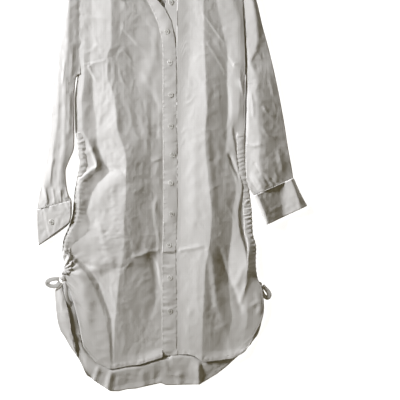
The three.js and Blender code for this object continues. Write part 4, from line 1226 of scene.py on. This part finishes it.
def casingPiece(name, sideX, inward, seed):
    y = np.linspace(casingLook["bottom"], casingLook["top"], casingLook["rows"])[:, None]
    share = np.linspace(0, 1, casingLook["across"])[None]
    waver = 0.7 * cloud(y * 0 + 9, y, 7, seed + 7)
    edge = 0.9 * np.sin(2 * np.pi * (y / 23 + 0.5 * cloud(y * 0 + 2, y, 40, seed + 8)))
    tuck = straight(casingSeats[name], "tuck", y, "y")
    x = sideX(y) + inward * (0.6 + edge + tuck + (casingLook["width"] - 0.6 + waver - edge) * share)
    y = y + 0 * share
    grid = np.stack([x, y, casingSurface(name, share, x, y, seed)], -1)
    if inward < 0:
        grid = grid[:, ::-1]
    return clothPiece(name, grid, "linen_casing", casingLook["wall"])


# each casing's side edge, the way inwards from it and its seed
casings = {"casing_right": (rightSide, 1, 401), "casing_left": (leftSide, -1, 421)}
for name, sewn in casings.items():
    piece = casingPiece(name, *sewn)
print("casings gathered")

collarStations = table("baseX baseY baseZ topX topY topZ edgeX edgeY edgeLift", [
    [-51, 941, 10.2, -55, 958, 21, -124, 905, 1.6],
    [-74, 944, 10.6, -72, 962, 27, -146, 940, 1.6],
    [-96, 989, 4.6, -88, 984, 32, -138, 990, 3.8],
    [-62, 987, 2.2, -60, 984, 31, -78, 1009, 2.9],
    [-30, 986, 2.2, -30, 983, 31, -30, 1013, 2.9],
    [2, 987, 2.2, 0, 984, 31, 18, 1009, 2.9],
    [36, 989, 4.6, 28, 984, 31, 78, 990, 3.8],
    [22, 947, 5.8, 14, 960, 25, 90, 938, 2.8],
    [-6, 940, 5.4, -2, 957, 17, 51, 905, 2.8],
])


def collarLine(name):
    points = np.stack([collarStations[name + "X"], collarStations[name + "Y"],
                       collarStations[name + ("Z" if name != "edge" else "Lift")]], -1)
    return smoothLine(points, 12)


def frontTop(x, y):
    # the upper side of the fronts and bands under the collar, or the floor outside them
    z = np.zeros_like(x)
    right = (x > rightSide(y)) & (x < rightSeam(y)) & (y < straight(rightTop, "y", x))
    left = (x > leftSeam(y)) & (x < leftSide(y)) & (y < straight(leftTop, "y", x))
    band = (x >= rightSeam(y)) & (x < straight(bandEdges, "freeX", y, "outerY")) & (y < 950)
    under = (x >= straight(buttonBandEdges, "freeX", y, "y")) & (x <= leftSeam(y)) & (y < 945)
    z[right] = rightFrontHeight(x[right], y[right], y[right] - 80)
    z[left] = leftFrontHeight(x[left], y[left], y[left] - 80)
    z[under] = collarLook["underBandZ"]
    z[band] = collarLook["bandZ"]
    return z


# mouth is the middle of the neck; the bands' upper sides and the leaf's least height over cloth
collarLook = {"wall": 1.6, "mouth": (-30, 966), "underBandZ": 5.4, "bandZ": 11.5, "clear": 2.2}
standBase, standTop, leafEdge = [collarLine(name) for name in ("base", "top", "edge")]
inwards = np.array(collarLook["mouth"]) - standTop[:, :2]
inwards /= np.linalg.norm(inwards, axis=1)[:, None]
share = np.linspace(0, 1, 14)[:, None, None]
standGrid = standBase * (1 - share) + standTop * share
standGrid[..., 2] += 0.25 * cloud(standGrid[..., 0], standGrid[..., 1], 8, 501)
standGrid[..., :2] += inwards * 0.6 * np.sin(np.pi * share)
standPiece = clothPiece("collar_stand", standGrid, "linen_bands", collarLook["wall"])

share = np.concatenate([np.linspace(0, 0.12, 7), np.linspace(0.16, 1, 26)])[:, None]
leafX, leafY = [standTop[:, k] * (1 - share) + leafEdge[:, k] * share for k in (0, 1)]
edgeZ = leafEdge[:, 2] + frontTop(leafEdge[:, 0], leafEdge[:, 1])
roll = 1.4 * np.sin(np.clip(share / 0.12, 0, 1) * np.pi / 2)
drop = (1 - share) ** 1.25
leafZ = standTop[:, 2] * drop + edgeZ * (1 - drop) + roll + 1.2
leafZ = leafZ + 0.5 * crumple(leafX, leafY, 26, 511, 1.2) * smooth(share * 3)
leafZ = np.maximum(leafZ, frontTop(leafX, leafY) + collarLook["clear"])
leafGrid = np.stack([leafX, leafY, leafZ], -1)[:, ::-1]
leafPiece = clothPiece("collar_leaf", leafGrid, "linen_bands", collarLook["wall"])
print("collar folded")

buttonLook = {
    "radius": 6.0,
    "thick": 1.5,
    "bevel": 0.35,
    "sunk": 1.3,  # how far the cloth closes round its lower edge
    "proud": 0.3,
    "holeRadius": 0.75,
    "holeOffset": 1.35,
    "shade": (0.88, 0.87, 0.83),
    "cloudy": (0.80, 0.79, 0.75),
}


def buttonMaterial():
    shader = Shader("buttonShell")
    place = shader.node("TexCoord", output="Object")
    sockets = {"Vector": place, "Scale": 420.0, "Detail": 3.0, "Distortion": 0.8}
    veins = shader.node("TexNoise", {}, sockets)
    base = shader.colour(veins, buttonLook["cloudy"], buttonLook["shade"])
    bump = shader.node("Bump", {}, {"Height": veins, "Strength": 0.25, "Distance": 0.2 * mm})
    return shader.finish(
        Base_Color=base, Roughness=0.3 + veins * 0.15, Normal=bump, Coat_Weight=0.25)


threadShader = Shader("sewingThread")
threadPlace = threadShader.node("TexCoord", output="Object")
twist = threadShader.node("TexNoise", {}, {"Vector": threadPlace, "Scale": 1500.0})
threadMaterial = threadShader.finish(
    Base_Color=threadShader.colour(twist, (0.68, 0.66, 0.62), (0.82, 0.80, 0.76)),
    Roughness=0.6 + twist * 0.2)
shellMaterial = buttonMaterial()


def ringPoints(radius, count):
    turn = np.linspace(0, 2 * np.pi, count, endpoint=False)
    return [(radius * math.cos(a), radius * math.sin(a)) for a in turn]


def spun(points, angle):
    # points turned round their own upright axis
    c, s = math.cos(angle), math.sin(angle)
    x, y, z = points.T
    return np.stack([x * c - y * s, x * s + y * c, z], -1)


def buttonBody():
    # a flat disc with four sewing holes, cut as one outline with holes and given a soft edge
    bevel, offset = buttonLook["bevel"], buttonLook["holeOffset"]
    curve = bpy.data.curves.new("buttonOutline", "CURVE")
    curve.dimensions = "2D"
    curve.fill_mode = "BOTH"
    curve.extrude = buttonLook["thick"] / 2 - bevel
    curve.bevel_depth = bevel
    curve.bevel_resolution = 2
    rounds = [((0, 0), buttonLook["radius"] - bevel, 44)]
    for centre in ((-offset, -offset), (-offset, offset), (offset, -offset), (offset, offset)):
        rounds.append((centre, buttonLook["holeRadius"] + bevel, 14))
    for (cx, cy), radius, count in rounds:
        line = curve.splines.new("POLY")
        points = ringPoints(radius, count)
        line.points.add(len(points) - 1)
        for point, (x, y) in zip(line.points, points):
            point.co = (cx + x, cy + y, 0, 1)
        line.use_cyclic_u = True
    outline = bpy.data.objects.new("buttonOutline", curve)
    bpy.context.scene.collection.objects.link(outline)
    bpy.context.view_layer.update()
    cut = outline.evaluated_get(bpy.context.evaluated_depsgraph_get())
    mesh = bpy.data.meshes.new_from_object(cut)
    bpy.data.objects.remove(outline)
    vertices = np.array([v.co[:] for v in mesh.vertices])
    faces = [tuple(p.vertices) for p in mesh.polygons]
    bpy.data.meshes.remove(mesh)
    return vertices, faces


def tubeRound(path, radius, around, looped):
    # a thin round bead along a path of points
    turn = np.linspace(0, 2 * np.pi, around, endpoint=False)
    rings = ringsRound(np.array(path), np.cos(turn) * radius, np.sin(turn) * radius, looped)
    faces = gridFaces(len(path), around, True, looped)
    if not looped:
        faces += endCaps(len(path), around)
    return rings.reshape(-1, 3), faces


def joined(parts):
    # several lists of points and faces as one
    vertices, faces, start = [], [], 0
    for points, sides in parts:
        vertices.append(points)
        faces += [tuple(start + k for k in face) for face in sides]
        start += len(points)
    return np.vstack(vertices), faces


rimRing = ringPoints(buttonLook["radius"] - 0.75, 44)
rimPath = [(x, y, buttonLook["thick"] / 2 - 0.15) for x, y in rimRing]
buttonPoints, buttonFaces = joined([buttonBody(), tubeRound(rimPath, 0.34, 8, True)])


def threadShape():
    # two crossed turns of thread through the holes and a short shank below
    hole = buttonLook["holeOffset"]
    top = buttonLook["thick"] / 2
    parts = []
    for sign in (-1, 1):
        for offset in (-0.2, 0.2):
            a = np.array((-hole, sign * -hole))
            b = np.array((hole, sign * hole))
            across = np.array((sign * hole, -hole)) / math.hypot(hole, hole) * offset
            path = []
            for share in np.linspace(0, 1, 9):
                arch = 0.35 * math.sin(math.pi * share) ** 0.5 + (0.12 if sign > 0 else 0)
                path.append((*(a + (b - a) * share + across), top + arch))
            path = [(*path[0][:2], -1.2), *path, (*path[-1][:2], -1.2)]
            parts.append(tubeRound(path, 0.2, 6, False))
    return joined(parts)


threadPoints, threadFaces = threadShape()


def addButton(node, x, y, z, turned, tilt=(0, 0)):
    # tilt is how far the cloth leans under the button, across and up
    def seated(points):
        points = spun(points, turned)
        points[:, 2] += points[:, 0] * tilt[0] + points[:, 1] * tilt[1]
        return points + (x, y, z + buttonLook["thick"] / 2)

    shell = newPiece(node + "_shell", seated(buttonPoints), buttonFaces, shellMaterial)
    belongs(shell, [node])
    thread = newPiece(node + "_thread", seated(threadPoints), threadFaces, threadMaterial)
    belongs(thread, [])


frontButtons = table("x y turned", [
    [0, 186, 0.3], [0, 263, 1.1], [-2, 338, 0.7], [4, 410, 0.1], [2, 481, 0.9], [6, 545, 0.5],
    [2, 611, 1.3], [2, 683, 0.2], [0, 757, 0.8], [-7, 828, 0.4],
])


def bandTopAt(x, y):
    # height of the buttonhole band's upper side, from its own share across
    sewn, free, z, lean = [
        straight(bandEdges, column, y, "outerY") for column in ("outerX", "freeX", "z", "lean")]
    u = (x - sewn) / (free - sewn)
    return z + u * lean + bandSurface(u, y, 101)


rim = np.array(ringPoints(buttonLook["radius"], 12))
for k, (x, y, turned) in enumerate(np.stack(list(frontButtons.values()), -1)):
    heights = bandTopAt(x + rim[:, 0], y + rim[:, 1])
    tilt = np.clip(heights @ rim / (rim**2).sum(0), -0.1, 0.1)
    z = heights.mean() - buttonLook["sunk"] + buttonLook["proud"]
    addButton(f"button_front_{k + 1}", x, y, z, turned, tilt)
addButton("button_neck", 2, 895, 7.9, 0.5)
cuffX, cuffY = np.array([-272.0]), np.array([391.0])
cuffZ = rightCuffTop(cuffX, cuffY) + buttonLook["proud"]
addButton("button_cuff_right", cuffX[0], cuffY[0], cuffZ[0], 0.6)
addButton("button_cuff_left", 250, 440, 0.1, 0.3)  # under the folded cuff
print("buttons sewn on")

stitchLook = {"pitch": 3.0, "length": 2.1, "width": 0.45, "thick": 0.22}


def stitchRun(path, heightAt, offset=0.05):
    # short raised stitches along a line of XY points, as points and faces
    line = smoothLine(path, 8) if len(path) > 2 else np.array(path, float)
    steps = np.hypot(*np.diff(line, axis=0).T)
    gone = np.concatenate([[0], np.cumsum(steps)])
    at = np.arange(stitchLook["pitch"] / 2, gone[-1], stitchLook["pitch"])

    def placeAt(distance):
        return np.stack([np.interp(distance, gone, line[:, k]) for k in (0, 1)], -1)

    half = stitchLook["length"] / 2
    start, end = placeAt(at - half), placeAt(at + half)
    ahead = end - start
    ahead /= np.linalg.norm(ahead, axis=1)[:, None]
    side = np.stack([-ahead[:, 1], ahead[:, 0]], -1) * stitchLook["width"] / 2
    points = []
    for share, wide, rise in ((0, 0.35, 0), (0.3, 1, 1), (0.7, 1, 1), (1, 0.35, 0)):
        centre = start * (1 - share) + end * share
        seat = heightAt(centre[:, 0], centre[:, 1]) + offset
        for across, up in ((-1, -0.12), (0, rise * stitchLook["thick"] + 0.02), (1, -0.12)):
            spot = centre + side * across * wide
            points.append(np.concatenate([spot, (seat + up)[:, None]], 1))
    points = np.stack(points, 1)
    faces = []
    for stitch in range(len(at)):
        for row in range(3):
            for column in range(2):
                a = stitch * 12 + row * 3 + column
                faces.append((a, a + 3, a + 4, a + 1))
    return points.reshape(-1, 3), faces


def stitchPiece(name, runs):
    belongs(newPiece(name + "_stitches", *joined(runs), threadMaterial), [])


def upLine(xAt, low, high, count=70):
    y = np.linspace(low, high, count)
    return np.stack([xAt(y), y], -1)


def hemStitches(hem, low, high, heightAt):
    x = np.linspace(low, high, 60)
    return stitchRun(np.stack([x, straight(hem, "y", x) + hemInset], -1), heightAt)


def rightFrontAt(x, y):
    return rightFrontHeight(x, y, y - straight(rightHem, "y", x))


def leftFrontAt(x, y):
    return leftFrontHeight(x, y, y - straight(leftHem, "y", x))


runs = []
for inset in (1.8, 31.5):
    y = np.linspace(86, 944, 300)
    px, py, _ = bandPlace(bandEdges, inset / bandLook["width"], y, rightBandColumns)
    runs.append(stitchRun(np.stack([px, py], -1)[::4], bandTopAt))
for x, y in zip(frontButtons["x"], frontButtons["y"]):
    for offset in (-0.9, 0.9):  # the two rows of a buttonhole
        runs.append(stitchRun([(x + offset, y - 8), (x + offset, y + 8)], bandTopAt, 0.15))
stitchPiece("placket_right", runs)
# the rows of stitches lie this far in from the hems and from the slits
hemInset, slitInset = 8.5, 6.5
stitchPiece("front_right", [
    hemStitches(rightHem, -186, -22, rightFrontAt),
    stitchRun(upLine(lambda y: rightSide(y) + slitInset, 150, 250), rightFrontAt),
])
stitchPiece("front_left", [
    hemStitches(leftHem, 20, 172, leftFrontAt),
    stitchRun(upLine(lambda y: leftSide(y) - slitInset, 130, 250), leftFrontAt),
])
stitchPiece("back_panel", [hemStitches(backHem, -188, 178, backHeight)])


def casingStitches(name, sideX, inward, seed, inset):
    def tuckAt(y):
        return straight(casingSeats[name], "tuck", y, "y")

    def casingAt(x, y):
        share = (np.abs(x - sideX(y)) - tuckAt(y) - 1.2) / (casingLook["width"] - 1.2)
        return casingSurface(name, share, x, y, seed)

    line = upLine(lambda y: sideX(y) + inward * (inset + tuckAt(y)), 276, 592, 120)
    return stitchRun(line, casingAt)


for name, sewn in casings.items():
    insets = (2.6, casingLook["width"] - 1.4)
    stitchPiece(name, [casingStitches(name, *sewn, inset) for inset in insets])
print("seams stitched")
